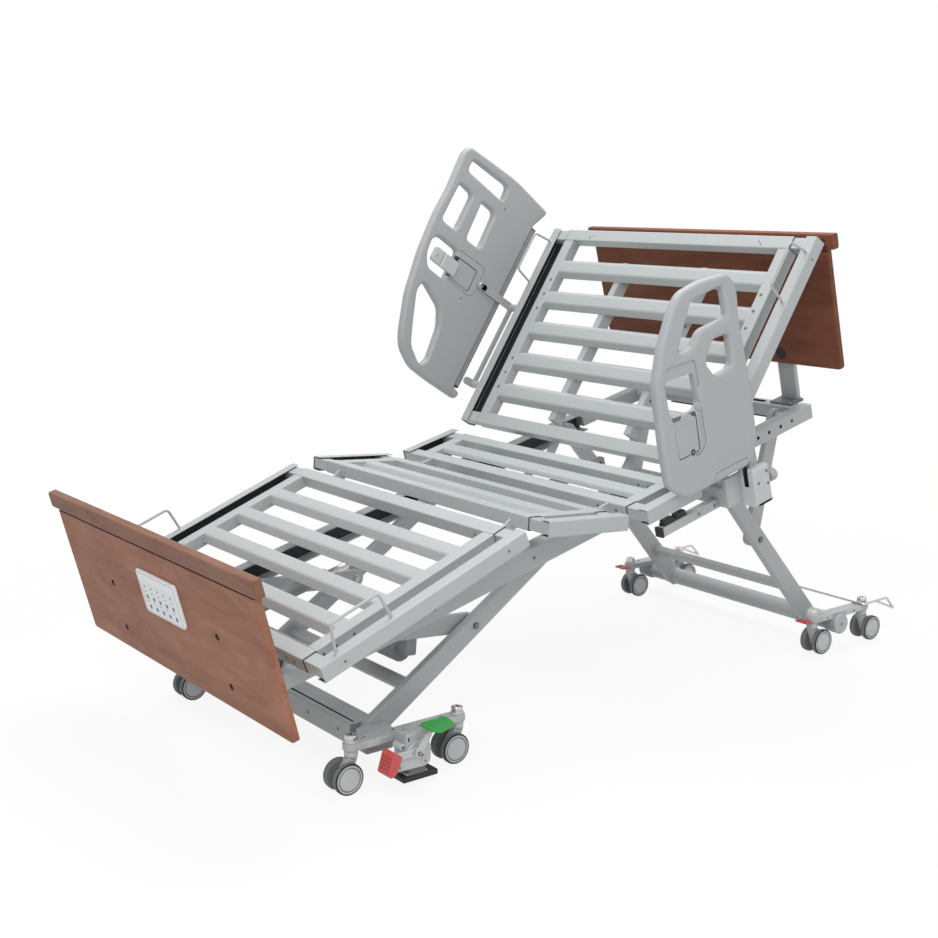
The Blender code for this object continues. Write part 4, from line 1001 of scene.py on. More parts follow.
@dataclass
class EndBoard:
    """A wooden board with a moulded cap along its top, in the frame's place.

    Attributes:
        name: The CAD node that it stands for.
        s: Lower face of the panel along the frame.
        low: Bottom edge above the frame's datum.
        half: Half width of the panel.
        outward: -1 where the outer face looks to the foot, 1 to the head.
        thick: Thickness of the panel.
        height: Height of the board.
        cap_height: Height of the cap.
        cap_side: How far the cap stands past the panel on each side.
        cap_extra: How far it stands past the panel's outer face.
        seam: Radius of the groove under the cap.
        seam_drop: How far the groove's middle lies under the cap.
        bolt_x: Place of the bolts to each side.
        bolt_u: Heights of the bolts.
        wood: The panel's finish.
    """

    name: str
    s: float
    low: float
    half: float
    outward: int
    thick: float = 0.018
    height: float = 0.392
    cap_height: float = 0.043
    cap_side: float = 0.022
    cap_extra: float = 0.006
    seam: float = 0.0033
    seam_drop: float = 0.0042
    bolt_x: float = 0.280
    bolt_u: tuple[float, float] = (0.488, 0.614)
    wood: str = "wood"

    def build(self) -> None:
        """Makes the panel, its cap and the bolts in their wells."""
        top = self.low + self.height
        inner, outer = (self.s, self.s + self.thick)[:: self.outward]
        corners = [
            (-self.half, self.low), (self.half, self.low), (self.half, top - 0.01), (-self.half, top - 0.01)
        ]
        panel = plate([rounded(corners, 0.012, 6)], "Y", self.s, self.s + self.thick, self.wood, 0.003, 3)
        face = outer + self.outward * self.cap_extra
        base = top - self.cap_height
        section = [
            (inner, base), (inner, top), (face, top), (face, base + 0.006),
            (outer + self.outward * 0.003, base), (outer - self.outward * 0.002, base),
        ]
        radii = [0.001, 0.0055, 0.0065, 0.005, 0.002, 0.0005]
        cap = plate(
            [rounded(section, radii, 6)], "X", -self.half - self.cap_side, self.half + self.cap_side,
            "wood_cap" if self.wood == "wood" else self.wood, 0.002, 3
        )
        # The grooves under the cap, their faces darkened as painted shade.
        line = base - self.seam_drop
        seams = [
            sweep([(-self.half - 0.004, y, line), (self.half + 0.004, y, line)], self.seam, "wood_dark", 12)
            for y in (inner, outer)
        ]
        panel = carved(panel, *seams)
        shape = panel
        if self.outward < 0:
            # Wells for the bolts, their walls in painted shade.
            wells, bolts = [], Shape()
            for x in (-self.bolt_x, self.bolt_x):
                for u in self.bolt_u:
                    wells.append(
                        lathe([(0.0085, 0.0), (0.0085, 0.02)], (x, outer - 0.01, u), TO_HEAD, "inside", 28)
                    )
                    bolts.join(screw((x, outer + 0.0099, u), TO_FOOT, 0.0070, "zinc", 0.004))
            shape = carved(panel, *wells).join(bolts)
        else:
            shape.join(self._knob())
        piece(self.name, shape.join(cap), FRAME, "frame_body", [self.name])

    def _knob(self) -> Shape:
        """The flat black knob let into the inner face, over the board's clamp."""
        turn = [
            (0.0185, 0.0), (0.0185, 0.0014), (0.0170, 0.0023), (0.0110, 0.0023), (0.0095, 0.0012),
            (0.0060, 0.0012)
        ]
        return lathe(turn, (0.259, self.s + 0.0004, 0.638), TO_FOOT, "black", 40)


@dataclass
class Keypad:
    """The control panel let into the footboard: a bezel, a membrane and rows of keys.

    Attributes:
        x: Its stretch across the board.
        u: Its stretch in height.
        back: Its back along the frame.
        thick: Thickness of the bezel.
        first_key: Distance of the first key from the panel's edge.
        key_step: Distance from key to key.
    """

    x: Point2 = (-0.0765, 0.1300)
    u: Point2 = (0.592, 0.705)
    back: float = -0.8233
    thick: float = 0.008
    first_key: float = 0.030
    key_step: float = 0.0345

    def build(self) -> None:
        """Makes the bezel, the membrane and its printed keys."""
        front = self.back - self.thick
        shape = plate([rectangle(self.x, self.u, 0.012, 8)], "Y", front, self.back, "pad", 0.0022, 4)
        rim = (self.x[0] + 0.0042, self.x[1] - 0.0060), (self.u[0] + 0.0050, self.u[1] - 0.0050)
        shape.join(plate([rectangle(*rim, 0.008, 6)], "Y", front - 0.0003, front + 0.001, "key_pale"))
        inner = (self.x[0] + 0.0052, self.x[1] - 0.0070), (self.u[0] + 0.0060, self.u[1] - 0.0060)
        shape.join(
            plate([rectangle(*inner, 0.006, 6)], "Y", front - 0.0006, front + 0.001, "membrane", 0.0003, 1)
        )
        line = (self.x[0] + 0.0125, self.x[0] + 0.0137), (self.u[0] + 0.0120, self.u[1] - 0.0270)
        shape.join(plate([rectangle(*line, 0.0004, 2)], "Y", front - 0.0008, front, "key_pale"))
        strip = (self.x[0] + 0.0058, self.x[1] - 0.0076), (self.u[1] - 0.0240, self.u[1] - 0.0066)
        shape.join(plate([rectangle(*strip, 0.004, 4)], "Y", front - 0.0008, front, "pad"))
        rows = ((0.026, "key", 0.0054), (0.052, "key", 0.0054), (0.079, "key_pale", 0.0034))
        for rise, colour, radius in rows:
            for k in range(5):
                x = self.x[0] + self.first_key + k * self.key_step + (0.086 - rise) * 0.12
                place = (x, front - 0.0005, self.u[0] + rise - 0.006)
                shape.join(lathe(
                    [(radius, 0.0), (radius, 0.0004), (radius * 0.8, 0.0007)], place, TO_FOOT, colour, 20
                ))
        for k in range(5):
            x = self.x[0] + self.first_key + k * self.key_step
            for rise in (0.034, 0.060):
                bar = (x - 0.006, x + 0.006), (self.u[0] + rise - 0.0009, self.u[0] + rise + 0.0009)
                shape.join(plate([rectangle(*bar, 0.001, 2)], "Y", front - 0.0008, front, "key_pale"))
        piece("board_keypad", shape, FRAME, "frame_body", ["board_keypad"])


@dataclass
class SideRail:
    """A moulded assist rail: a slab with grips, a recess and its latch.

    Attributes:
        name: The CAD node of the slab.
        latch: The CAD node of its latch.
        bodies: The bodies of the slab and of the latch.
        place: The frame that its outline is drawn in.
        x: The slab's two faces.
        outline: Outer outline.
        radii: Its corner radii.
        holes: The grips.
        pocket: The latch's recess.
        panel: The latch plate.
        extra_cuts: Grooves and bores that are taken out of the slab.
        extras: Shapes that belong to the slab.
        latch_extras: Shapes that belong to the latch.
        hole_radius: Corner radius of the grips.
    """

    name: str
    latch: str
    bodies: tuple[str, str]
    place: Matrix
    x: Point2
    outline: Sequence[Point2]
    radii: float | Sequence[float]
    holes: Sequence[Sequence[Point2]]
    pocket: Sequence[Point2]
    panel: Sequence[Point2]
    extra_cuts: Sequence[Shape] = ()
    extras: Sequence[Shape] = ()
    latch_extras: Sequence[Shape] = ()
    hole_radius: float = 0.016

    def build(self) -> None:
        """Makes the slab with its rounded grips, then the latch in its recess."""
        outlines = [rounded(self.outline, self.radii, 8)]
        outlines += [rounded(hole, self.hole_radius, 8) for hole in self.holes]
        slab = plate(outlines, "X", *self.x, "rail", 0.0105, 5)
        top = self.x[1]
        recess = plate([rounded(self.pocket, 0.008, 6)], "X", top - 0.008, top + 0.006, "rail_shade")
        shape = carved(slab, recess, *self.extra_cuts).join(*self.extras)
        piece(self.name, shape, self.place, self.bodies[0], [self.name], 40.0)
        plate_shape = plate(
            [rounded(self.panel, 0.0075, 6)], "X", top - 0.0075, top - 0.0008, "rail", 0.0012, 3
        )
        piece(
            self.latch, plate_shape.join(*self.latch_extras), self.place, self.bodies[1],
            [self.latch]
        )


def near_rail() -> SideRail:
    """The rail on the frame, at the patient's left.

    Returns:
        The rail, drawn in the frame's place.
    """
    outline = [
        (0.603, 1.043), (0.624, 0.996), (0.616, 0.921), (0.622, 0.827), (0.626, 0.718), (0.623, 0.623),
        (0.584, 0.537), (0.347, 0.535), (0.292, 0.582), (0.292, 0.692), (0.301, 0.848), (0.339, 0.932),
        (0.390, 1.008), (0.426, 1.043), (0.498, 1.052),
    ]
    holes = [
        [(0.460, 1.012), (0.574, 1.019), (0.576, 0.938), (0.479, 0.934), (0.435, 0.896), (0.389, 0.899)],
        [(0.513, 0.897), (0.573, 0.895), (0.569, 0.809), (0.506, 0.804), (0.479, 0.848)],
        [(0.334, 0.846), (0.434, 0.838), (0.438, 0.755), (0.418, 0.743), (0.335, 0.751)],
    ]
    panel = [
        (0.338, 0.7395), (0.3660, 0.7370), (0.3720, 0.7470), (0.3980, 0.7455), (0.4040, 0.7345),
        (0.4155, 0.7330), (0.4125, 0.642), (0.340, 0.642),
    ]
    pocket = [(0.3365, 0.7650), (0.4180, 0.7650), (0.4145, 0.6405), (0.3380, 0.6405)]
    face = 0.585
    finger = plate(
        [rounded([(0.338, 0.880), (0.441, 0.872), (0.446, 0.800), (0.330, 0.808)], 0.012, 6)], "X",
        face - 0.006, face + 0.02, "rail", 0.0
    )
    rim = [(0.424, 0.765), (0.437, 0.757), (0.4375, 0.655), (0.414, 0.632), (0.396, 0.6335)]
    groove = sweep(bent([(face - 0.0010, *p) for p in rim], 0.008), 0.0011, "rail_shade", 10)
    foot_line = [(0.449, 0.5445), (0.455, 0.562), (0.572, 0.5625), (0.5815, 0.548)]
    foot = sweep(bent([(face - 0.0010, *p) for p in foot_line], 0.009), 0.0010, "rail_shade", 10)
    raised = [(0.4215, 0.7560), (0.4305, 0.7490), (0.4310, 0.6590), (0.4110, 0.6385), (0.4010, 0.6375)]
    lip = sweep(bent([(face - 0.0004, *p) for p in raised], 0.012), 0.0021, "rail", 14)
    lip.join(lathe(
        [(0.0100, 0.0), (0.0100, 0.0035), (0.0080, 0.0050)], (face - 0.0038, 0.4270, 0.7545), TO_LEFT,
        "rail", 32
    ))
    # The pin's hole: a raised ring round a disc of painted shade, with the pin's end in it.
    mark = lathe(
        [(0.0080, 0.0), (0.0106, 0.0), (0.0106, 0.0008), (0.0094, 0.0016), (0.0080, 0.0008)],
        (face - 0.0020, 0.388, 0.645), TO_LEFT, "rail", 36
    )
    mark.join(rod((face - 0.0040, 0.388, 0.645), (face - 0.0008, 0.388, 0.645), 0.0082, "inside", 32, 0.0))
    mark.join(rod((face - 0.0020, 0.388, 0.645), (face - 0.0004, 0.388, 0.645), 0.0026, "zinc", 20, 0.0))
    pad = [(0.575, 0.5455), (0.575, 0.641), (0.609, 0.6355), (0.6195, 0.621), (0.605, 0.590), (0.588, 0.5510)]
    guard = plate([rounded(pad, 0.006, 6)], "X", face - 0.008, face, "rail", 0.0016, 3)
    ear = plate(
        [stadium((0.600, 0.580), (0.602, 0.497), 0.012, 0.018)], "X", 0.5635, 0.5765, "rail", 0.002, 3
    )
    # The ear's pivot bore, its walls in painted shade.
    pivot = lathe([(0.0063, 0.0), (0.0063, 0.05)], (0.545, 0.602, 0.497), TO_LEFT, "inside", 28)
    return SideRail(
        "near_rail", "near_rail_latch", ("near_rail_body", "near_latch_body"), FRAME, (0.555, face - 0.0012),
        outline, 0.022, holes, pocket, panel,
        extra_cuts=(finger, groove, foot), extras=(lip, guard, carved(ear, pivot)),
        latch_extras=(
            sweep(
                bent(
                    [
                        (face - 0.0030, 0.345, 0.7270), (face - 0.0022, 0.380, 0.7255),
                        (face - 0.0030, 0.410, 0.7215)
                    ], 0.01
                ), 0.0018, "rail", 10
            ), mark,
        ),
        hole_radius=0.014,
    )


def far_rail() -> SideRail:
    """The rail on the backrest's right wing.

    Returns:
        The rail, drawn in the backrest's place.
    """
    outline = [
        (0.753, 0.387), (0.767, 0.180), (0.752, 0.007), (0.682, 0.038), (0.088, 0.038), (0.081, 0.006),
        (0.056, 0.013), (0.055, 0.138), (0.059, 0.219), (0.092, 0.281), (0.131, 0.308), (0.247, 0.354),
        (0.386, 0.382), (0.510, 0.393), (0.601, 0.391), (0.726, 0.401),
    ]
    radii = [
        0.02, 0.03, 0.02, 0.011, 0.011, 0.011, 0.011, 0.02, 0.02, 0.02, 0.02, 0.02, 0.02, 0.02, 0.02, 0.02
    ]
    holes = [
        [(0.725, 0.356), (0.731, 0.195), (0.679, 0.189), (0.685, 0.357)],
        [(0.637, 0.361), (0.632, 0.300), (0.504, 0.298), (0.505, 0.361)],
        [(0.635, 0.257), (0.632, 0.195), (0.506, 0.187), (0.503, 0.248)],
        [(0.391, 0.354), (0.440, 0.360), (0.456, 0.338), (0.454, 0.256), (0.352, 0.256), (0.354, 0.329)],
        [
            (0.309, 0.317), (0.269, 0.222), (0.217, 0.192), (0.109, 0.176), (0.083, 0.194), (0.121, 0.254),
            (0.184, 0.285), (0.277, 0.326)
        ],
    ]
    panel = [(0.438, 0.243), (0.440, 0.160), (0.368, 0.158), (0.370, 0.243)]
    pocket = [(0.4400, 0.2680), (0.4420, 0.1585), (0.3665, 0.1565), (0.3680, 0.2680)]
    face = -0.585
    rim = [(0.448, 0.262), (0.461, 0.252), (0.464, 0.141), (0.440, 0.131), (0.416, 0.134)]
    groove = sweep(bent([(face + 0.0002, *p) for p in rim], 0.008), 0.0011, "rail_shade", 10)
    lower = [(0.362, 0.250), (0.3575, 0.150), (0.366, 0.136), (0.392, 0.133)]
    second = sweep(bent([(face + 0.0002, *p) for p in lower], 0.008), 0.0010, "rail_shade", 10)
    # The pivot's bore, its walls in painted shade.
    pivot = lathe([(0.0073, 0.0), (0.0073, 0.08)], (-0.63, 0.409, 0.127), TO_LEFT, "inside", 28)
    marks = Shape()
    for t, w in ((0.663, 0.171), (0.336, 0.169), (0.406, 0.062)):
        marks.join(hole_mark((face, t, w), TO_LEFT, 0.0035))
    lever = plate(
        [rounded([(0.378, 0.338), (0.424, 0.338), (0.424, 0.232), (0.376, 0.232)], 0.009, 6)], "X",
        face - 0.007, face + 0.006, "post", 0.003, 4
    )
    scoop = rod((face + 0.010, 0.360, 0.296), (face + 0.010, 0.440, 0.296), 0.0075, "post", 28, 0.0)
    lever = carved(lever, scoop)
    lever.join(hole_mark((face + 0.006, 0.400, 0.322), TO_LEFT, 0.0022))
    stops = [
        block((face - 0.006, face + 0.0035), (t - 0.004, t + 0.004), (0.244, 0.254), "black", 0.001)
        for t in (0.381, 0.430)
    ]
    return SideRail(
        "far_rail", "far_rail_latch", ("far_rail_body", "far_latch_body"), BACK, (-0.615, face),
        outline, radii, holes, pocket, panel,
        extra_cuts=(groove, second, pivot), extras=(marks,), latch_extras=(lever, *stops),
    )


@dataclass
class RailSupports:
    """What carries the two rails: the near post and the far mount with its track bar."""

    def build(self) -> None:
        """Makes the post, the mount and the bar."""
        self._post()
        self._mount()
        self._bar()

    @staticmethod
    def _post() -> None:
        """The near rail's post: a slotted cover, its foot on the frame and the release knob."""
        pivot = (0.602, 0.497)
        outline = rounded(
            [(0.571, 0.421), (0.633, 0.421), (0.633, 0.528), (0.571, 0.528)], [0.003, 0.003, 0.010, 0.010],
            8
        )
        cover = plate([outline], "X", 0.5395, 0.5985, "post", 0.009, 5)
        # The slot, its walls in painted shade.
        slot = block((0.5625, 0.5775), (0.55, 0.65), (pivot[1] - 0.0205, 0.56), "inside", 0.0)
        shape = carved(cover, slot)
        for s, u in ((0.631, 0.509), (0.628, 0.475), (0.585, 0.486)):
            s_in = min(max(s, 0.585), 0.620)
            shape.join(hole_mark((0.5985, s_in, u), TO_LEFT, 0.0042))
        shape.join(block((0.5155, 0.5515), (0.513, 0.592), (0.434, 0.4885), "steel", 0.003))
        shape.join(block((0.4860, 0.5215), (0.5135, 0.5915), (0.4563, 0.4880), "steel", 0.002))
        shape.join(block((0.5380, 0.5510), (0.5140, 0.5910), (0.480, 0.514), "steel", 0.002))
        for s in (0.528, 0.577):
            shape.join(screw((0.503, s, 0.4880), UP, 0.0055, "zinc", 0.003))
        stem = rod((0.569, 0.628, 0.477), (0.569, 0.655, 0.477), 0.009, "post")
        knob = [(0.015, 0.0), (0.0178, 0.003), (0.018, 0.016), (0.0160, 0.0222), (0.011, 0.0240)]
        shape.join(stem, lathe(knob, (0.569, 0.652, 0.477), TO_HEAD, "rail", 40))
        shape.join(rod((0.545, *pivot), (0.594, *pivot), 0.006, "zinc"))
        piece("near_rail_post", shape, FRAME, "frame_body", ["near_rail_post"], 40.0)

    @staticmethod
    def _mount() -> None:
        """The far rail's mount: two arms, the bar between them and the rail's pivot."""
        web = -0.5338
        shape = Shape()
        for t, top in ((0.412, 0.115), (0.130, 0.012)):
            shape.join(rod((web, t, -0.020), (-0.5790, t, -0.020), 0.012, "steel", 32))
            arm = stadium((t, -0.020), (t - 0.003, top), 0.0125, 0.012)
            shape.join(plate([arm], "X", -0.5825, -0.5765, "rail", 0.0022, 4))
            shape.join(bolt((-0.5765, t, -0.020), TO_LEFT, 0.006, 0.005))
        shape.join(plate(
            [stadium((0.412, -0.020), (0.130, -0.020), 0.009, 0.0089)], "X", -0.5820, -0.5770, "steel",
            0.0015, 3
        ))
        shape.join(plate(
            [stadium((0.409, 0.110), (0.409, 0.127), 0.012, 0.0125)], "X", -0.5825, -0.5765, "rail",
            0.0022, 4
        ))
        shape.join(rod((-0.5780, 0.409, 0.127), (-0.6200, 0.409, 0.127), 0.007, "chrome", 28))
        shape.join(screw((-0.5765, 0.409, 0.127), TO_LEFT, 0.008, "chrome", 0.004))
        shape.join(rod((-0.6155, 0.409, 0.127), (-0.6215, 0.409, 0.127), 0.013, "chrome", 32))
        piece("far_rail_mount", shape, BACK, "backrest_wing_right_body", ["far_rail_mount"])

    @staticmethod
    def _bar() -> None:
        """The capped bar along the far rail."""
        x = (-0.609, -0.591)
        shape = block(x, (0.096, 0.674), (0.0185, 0.0377), "steel_shade", 0.003, 3)
        shape.join(block((-0.6086, -0.5914), (0.092, 0.098), (0.019, 0.0372), "black", 0.002))
        shape.join(block((-0.6086, -0.5914), (0.672, 0.678), (0.019, 0.0372), "black", 0.002))
        shape.join(hole_mark((-0.591, 0.406, 0.028), TO_LEFT, 0.0045))
        piece("far_rail_bar", shape, BACK, "far_rail_body", ["far_rail_bar"])


@dataclass
class DeckSection:
    """One section of the deck: drilled side bars, open cross tubes and folded slats.

    Attributes:
        node: The CAD node that it stands for.
        matrix: From the section's frame to the world.
        body: The body that carries it.
        way: 1 where the section runs to the head, -1 to the foot.
        length: Its length.
        tubes: Where each cross tube starts.
        slats: The middle of each slat.
        drop: Height of the slats' skirts.
        holes: Holes in the top of each side bar, as places along it.
        side_holes: Holes in the outer side of each side bar, likewise.
        extras: Ears and other pieces welded to it.
        front_marks: Places across each tube's foot-side face, each with True for a hole or False for a screw.
        tube: Width of a cross tube along the section.
        low: Bottom of the tubes.
        top: Top of the tubes.
        axis: Height of the tubes' middle.
        bar_x: Faces of the left side bar.
        tube_end: Where the tubes end.
        slat_end: Where the slats end.
    """

    node: str
    matrix: Matrix
    body: str
    way: int
    length: float
    tubes: Sequence[float]
    slats: Sequence[float]
    drop: float = 0.020
    holes: Sequence[float] = ()
    side_holes: Sequence[float] = ()
    extras: Sequence[Shape] = ()
    front_marks: Sequence[tuple[float, bool]] = ()
    tube: float = 0.040
    low: float = -0.0377
    top: float = -0.0023
    axis: float = -0.020
    bar_x: Point2 = (0.418, 0.4576)
    tube_end: float = 0.4555
    slat_end: float = 0.4235

    def build(self) -> None:
        """Makes the whole section as one welded piece."""
        shape = Shape()
        for side in (1, -1):
            for start, end in self._stretches():
                shape.join(self._bar(side, start, end))
        for start in self.tubes:
            shape.join(self._cross_tube(start))
        for middle in self.slats:
            shape.join(self._slat(middle))
        piece(self.node, shape.join(*self.extras), self.matrix, self.body, [self.node])

    def _stretches(self) -> list[Point2]:
        """The stretches of side bar between the cross tubes.

        Returns:
            The two ends of each stretch, along the section.
        """
        edges = [0.001]
        for start in sorted(self.tubes):
            edges += [start, start + self.tube]
        edges.append(self.length - 0.001)
        return [(a, b) for a, b in zip(edges[::2], edges[1::2]) if b - a > 0.003]

    def _bar(self, side: int, start: float, end: float) -> Shape:
        """One stretch of a side bar with its holes.

        Args:
            side: 1 for the left, -1 for the right.
            start: Where it starts along the section.
            end: Where it ends.

        Returns:
            The shape.
        """
        x = across(side, *self.bar_x)
        y = run(self.way, start - 0.0004, end + 0.0004)
        bar = plate([rectangle(x, y)], "Z", self.low + 0.0004, self.top - 0.0007, "steel", 0.0022, 3)
        for place in self.holes:
            if start + 0.008 < place < end - 0.008:
                bar.join(hole_mark((side * 0.433, self.way * place, self.top - 0.0007), UP, 0.0052))
        for place in self.side_holes:
            if start < place < end:
                bar.join(hole_mark((side * self.bar_x[1], self.way * place, self.axis), (side, 0, 0), 0.0042))
        return bar

    def _cross_tube(self, start: float) -> Shape:
        """An open cross tube with its end liners and its holes.

        Args:
            start: Where it starts along the section.

        Returns:
            The shape.
        """
        y = run(self.way, start, start + self.tube)
        tube = plate(
            hollow(y, (self.low, self.top), 0.0025, 0.0042), "X", -self.tube_end, self.tube_end, "steel",
            0.0005, 1
        )
        for x, bored in self.front_marks:
            spot = (x, self.way * start if self.way > 0 else self.way * (start + self.tube), self.axis)
            tube.join(
                hole_mark(spot, TO_FOOT, 0.0046) if bored else screw(spot, TO_FOOT, 0.0050, "zinc", 0.0006)
            )
        for side in (1, -1):
            ring = hollow(
                (y[0] + 0.0004, y[1] - 0.0004), (self.low + 0.0004, self.top - 0.0004), 0.0021, 0.0036
            )
            tube.join(
                plate(ring, "X", *across(side, self.tube_end, self.tube_end + 0.0015), "black", 0.0003, 1)
            )
            # A sheet of painted shade across each side of the open tube, where its bore is dark.
            dark = (y[0] + 0.002, y[1] - 0.002), (self.low + 0.002, self.top - 0.002)
            tube.join(plate([rectangle(*dark, 0.002)], "X", *across(side, 0.180, 0.182), "inside"))
        return tube

    def _slat(self, middle: float) -> Shape:
        """A folded slat with a sloping skirt on each side and its welds.

        Args:
            middle: Its middle along the section.

        Returns:
            The shape.
        """
        half, sheet = 0.019, 0.002
        skirt = 0.014 * self.drop / 0.020
        top = -0.004
        outline = [
            (-half - skirt, top - self.drop), (-half, top), (half, top), (half + skirt, top - self.drop),
            (half + skirt - 0.0024, top - self.drop), (half - 0.001, top - sheet),
            (-half + 0.001, top - sheet), (-half - skirt + 0.0024, top - self.drop),
        ]
        radii = [0.0006, 0.0055, 0.0055, 0.0006, 0.0006, 0.004, 0.004, 0.0006]
        place = self.way * middle
        bent_sheet = [(y + place, z) for y, z in rounded(outline, radii, 4)]
        shape = plate([bent_sheet], "X", -self.slat_end, self.slat_end, "steel")
        for side in (1, -1):
            for edge in (-1, 1):
                y = place + edge * (half + skirt * 0.55)
                shape.join(sweep(
                    [
                        (side * 0.4176, y - edge * 0.006, top - 0.001),
                        (side * 0.4176, y + edge * 0.004, top - self.drop * 0.72)
                    ], 0.0014, "steel", 8
                ))
        return shape


@dataclass
class Wing:
    """A folded channel that widens a section, on bars that slide in its tubes.

    Attributes:
        section: First word of its name.
        side: 1 for the left, -1 for the right.
        matrix: From the section's frame to the world.
        way: 1 where the section runs to the head, -1 to the foot.
        length: Its length.
        tubes: Where each cross tube starts.
        retainer: Distance of the wire loop from the section's far end, or 0.
        inner: Edge of the channel's lips.
        outer: Outer face of its web.
        deep: Its height.
        sheet: Its thickness.
    """

    section: str
    side: int
    matrix: Matrix
    way: int
    length: float
    tubes: Sequence[float]
    retainer: float = 0.0
    inner: float = 0.4995
    outer: float = 0.5335
    deep: float = 0.040
    sheet: float = 0.0018

    def build(self) -> None:
        """Makes the channel, its slide bars and its wire loop."""
        word = "left" if self.side > 0 else "right"
        name = f"{self.section}_wing_{word}"
        inner, outer, deep, sheet = self.inner, self.outer, self.deep, self.sheet
        outline = [
            (inner, 0.0), (outer, 0.0), (outer, -deep), (inner, -deep), (inner, -deep + sheet),
            (outer - sheet, -deep + sheet), (outer - sheet, -sheet), (inner, -sheet),
        ]
        radii = [0.0005, 0.0045, 0.0045, 0.0005, 0.0005, 0.0028, 0.0028, 0.0005]
        channel = mirrored(rounded(outline, radii, 5), self.side)
        shape = plate([channel], "Y", *run(self.way, 0.0, self.length), "steel", 0.0003, 1)
        # A thin sheet of painted shade over the channel's web and flanges, within the lips.
        web = outer - sheet - 0.00002
        painted_shade_outline = [
            (inner + 0.004, -sheet - 0.00004), (web, -sheet - 0.00004), (web, -deep + sheet + 0.00004),
            (inner + 0.004, -deep + sheet + 0.00004), (inner + 0.004, -deep + sheet + 0.00024),
            (
                web - 0.0002, -deep + sheet + 0.00024
            ), (web - 0.0002, -sheet - 0.00024), (inner + 0.004, -sheet - 0.00024),
        ]
        inside = mirrored(rounded(painted_shade_outline, 0.00005, 1), self.side)
        shape.join(plate([inside], "Y", *run(self.way, 0.0015, self.length - 0.0015), "shadow"))
        for start in self.tubes:
            y = run(self.way, start + 0.0028, start + 0.0372)
            shape.join(block(
                across(self.side, 0.330, outer - sheet + 0.0006), y, (-0.0349, -0.0051), "steel", 0.0022, 3
            ))
            for low in (-0.0349, -0.0051):
                shape.join(sweep(
                    [
                        (self.side * (outer - sheet - 0.0003), y[0], low),
                        (self.side * (outer - sheet - 0.0003), y[1], low)
                    ], 0.0011, "steel", 8
                ))
        if self.retainer:
            shape.join(self._loop())
        if name == "backrest_wing_right":
            for t in (0.412, 0.130):
                shape.join(
                    lathe([(0.0075, -0.0006), (0.0075, -0.0001)], (-0.517, t, 0.0), UP, "steel_shade", 24)
                )
        for place in (0.06, self.length - 0.06):
            if self.length > 0.3:
                shape.join(
                    hole_mark((self.side * outer, self.way * place, -deep / 2), (self.side, 0, 0), 0.0035)
                )
        piece(name, shape, self.matrix, f"{name}_body", [name])

    def _loop(self) -> Shape:
        """The wire loop that keeps a mattress in place, with a weld at each foot.

        Returns:
            The shape.
        """
        x, rise, lean = self.side * 0.520, 0.069, self.way * 0.012
        last = self.way * (self.length - self.retainer)
        first = self.way * (self.length - self.retainer - 0.155)
        path = [(x, first, -0.001), (x, first + lean, rise), (x, last - lean, rise), (x, last, -0.001)]
        loop = sweep(bent(path, 0.012, 10), 0.0035, "steel", 18)
        for y in (first, last):
            loop.join(
                lathe([(0.0065, -0.0004), (0.0058, 0.0010), (0.0042, 0.0022)], (x, y, 0.0), UP, "steel", 24)
            )
        return loop


# Places and lengths along the deck's sections, and the faces of the left hinge ears.
BACK_TUBES, BACK_SLATS = (0.0, 0.660), (0.122, 0.233, 0.344, 0.454, 0.566)
SEAT_TUBES, THIGH_TUBES, FOOT_TUBES = (0.0, 0.148), (0.004, 0.2177), (0.0, 0.561)
BACK_LONG, THIGH_LONG, FOOT_LONG = 0.700, 0.2577, 0.601
INNER_EAR, OUTER_EAR = (0.384, 0.392), (0.394, 0.402)
PIN_BORE = 0.0083


def ear(side: int, x: Point2, start: Point2, end: Point2, first: float, last: float) -> Shape:
    """A hinge ear, as a rounded plate on one side.

    Args:
        side: 1 for the left, -1 for the right.
        x: Its faces on the left side.
        start: Middle of its first round end.
        end: Middle of its last round end.
        first: Radius of the first end.
        last: Radius of the last end.

    Returns:
        The closed shape.
    """
    return plate([stadium(start, end, first, last)], "X", *across(side, *x), "steel", 0.0015, 3)


def ear_bore(side: int, place: Point2) -> Shape:
    """The cutter of an outer ear's pin bore; the bore's walls take painted shade."""
    return rod((side * 0.39, *place), (side * 0.41, *place), PIN_BORE, "inside", 28, 0.0)


def ear_pin(side: int, place: Point2) -> Shape:
    """The pin that joins an inner ear to an outer one."""
    return rod((side * 0.386, *place), (side * 0.404, *place), 0.008, "zinc")


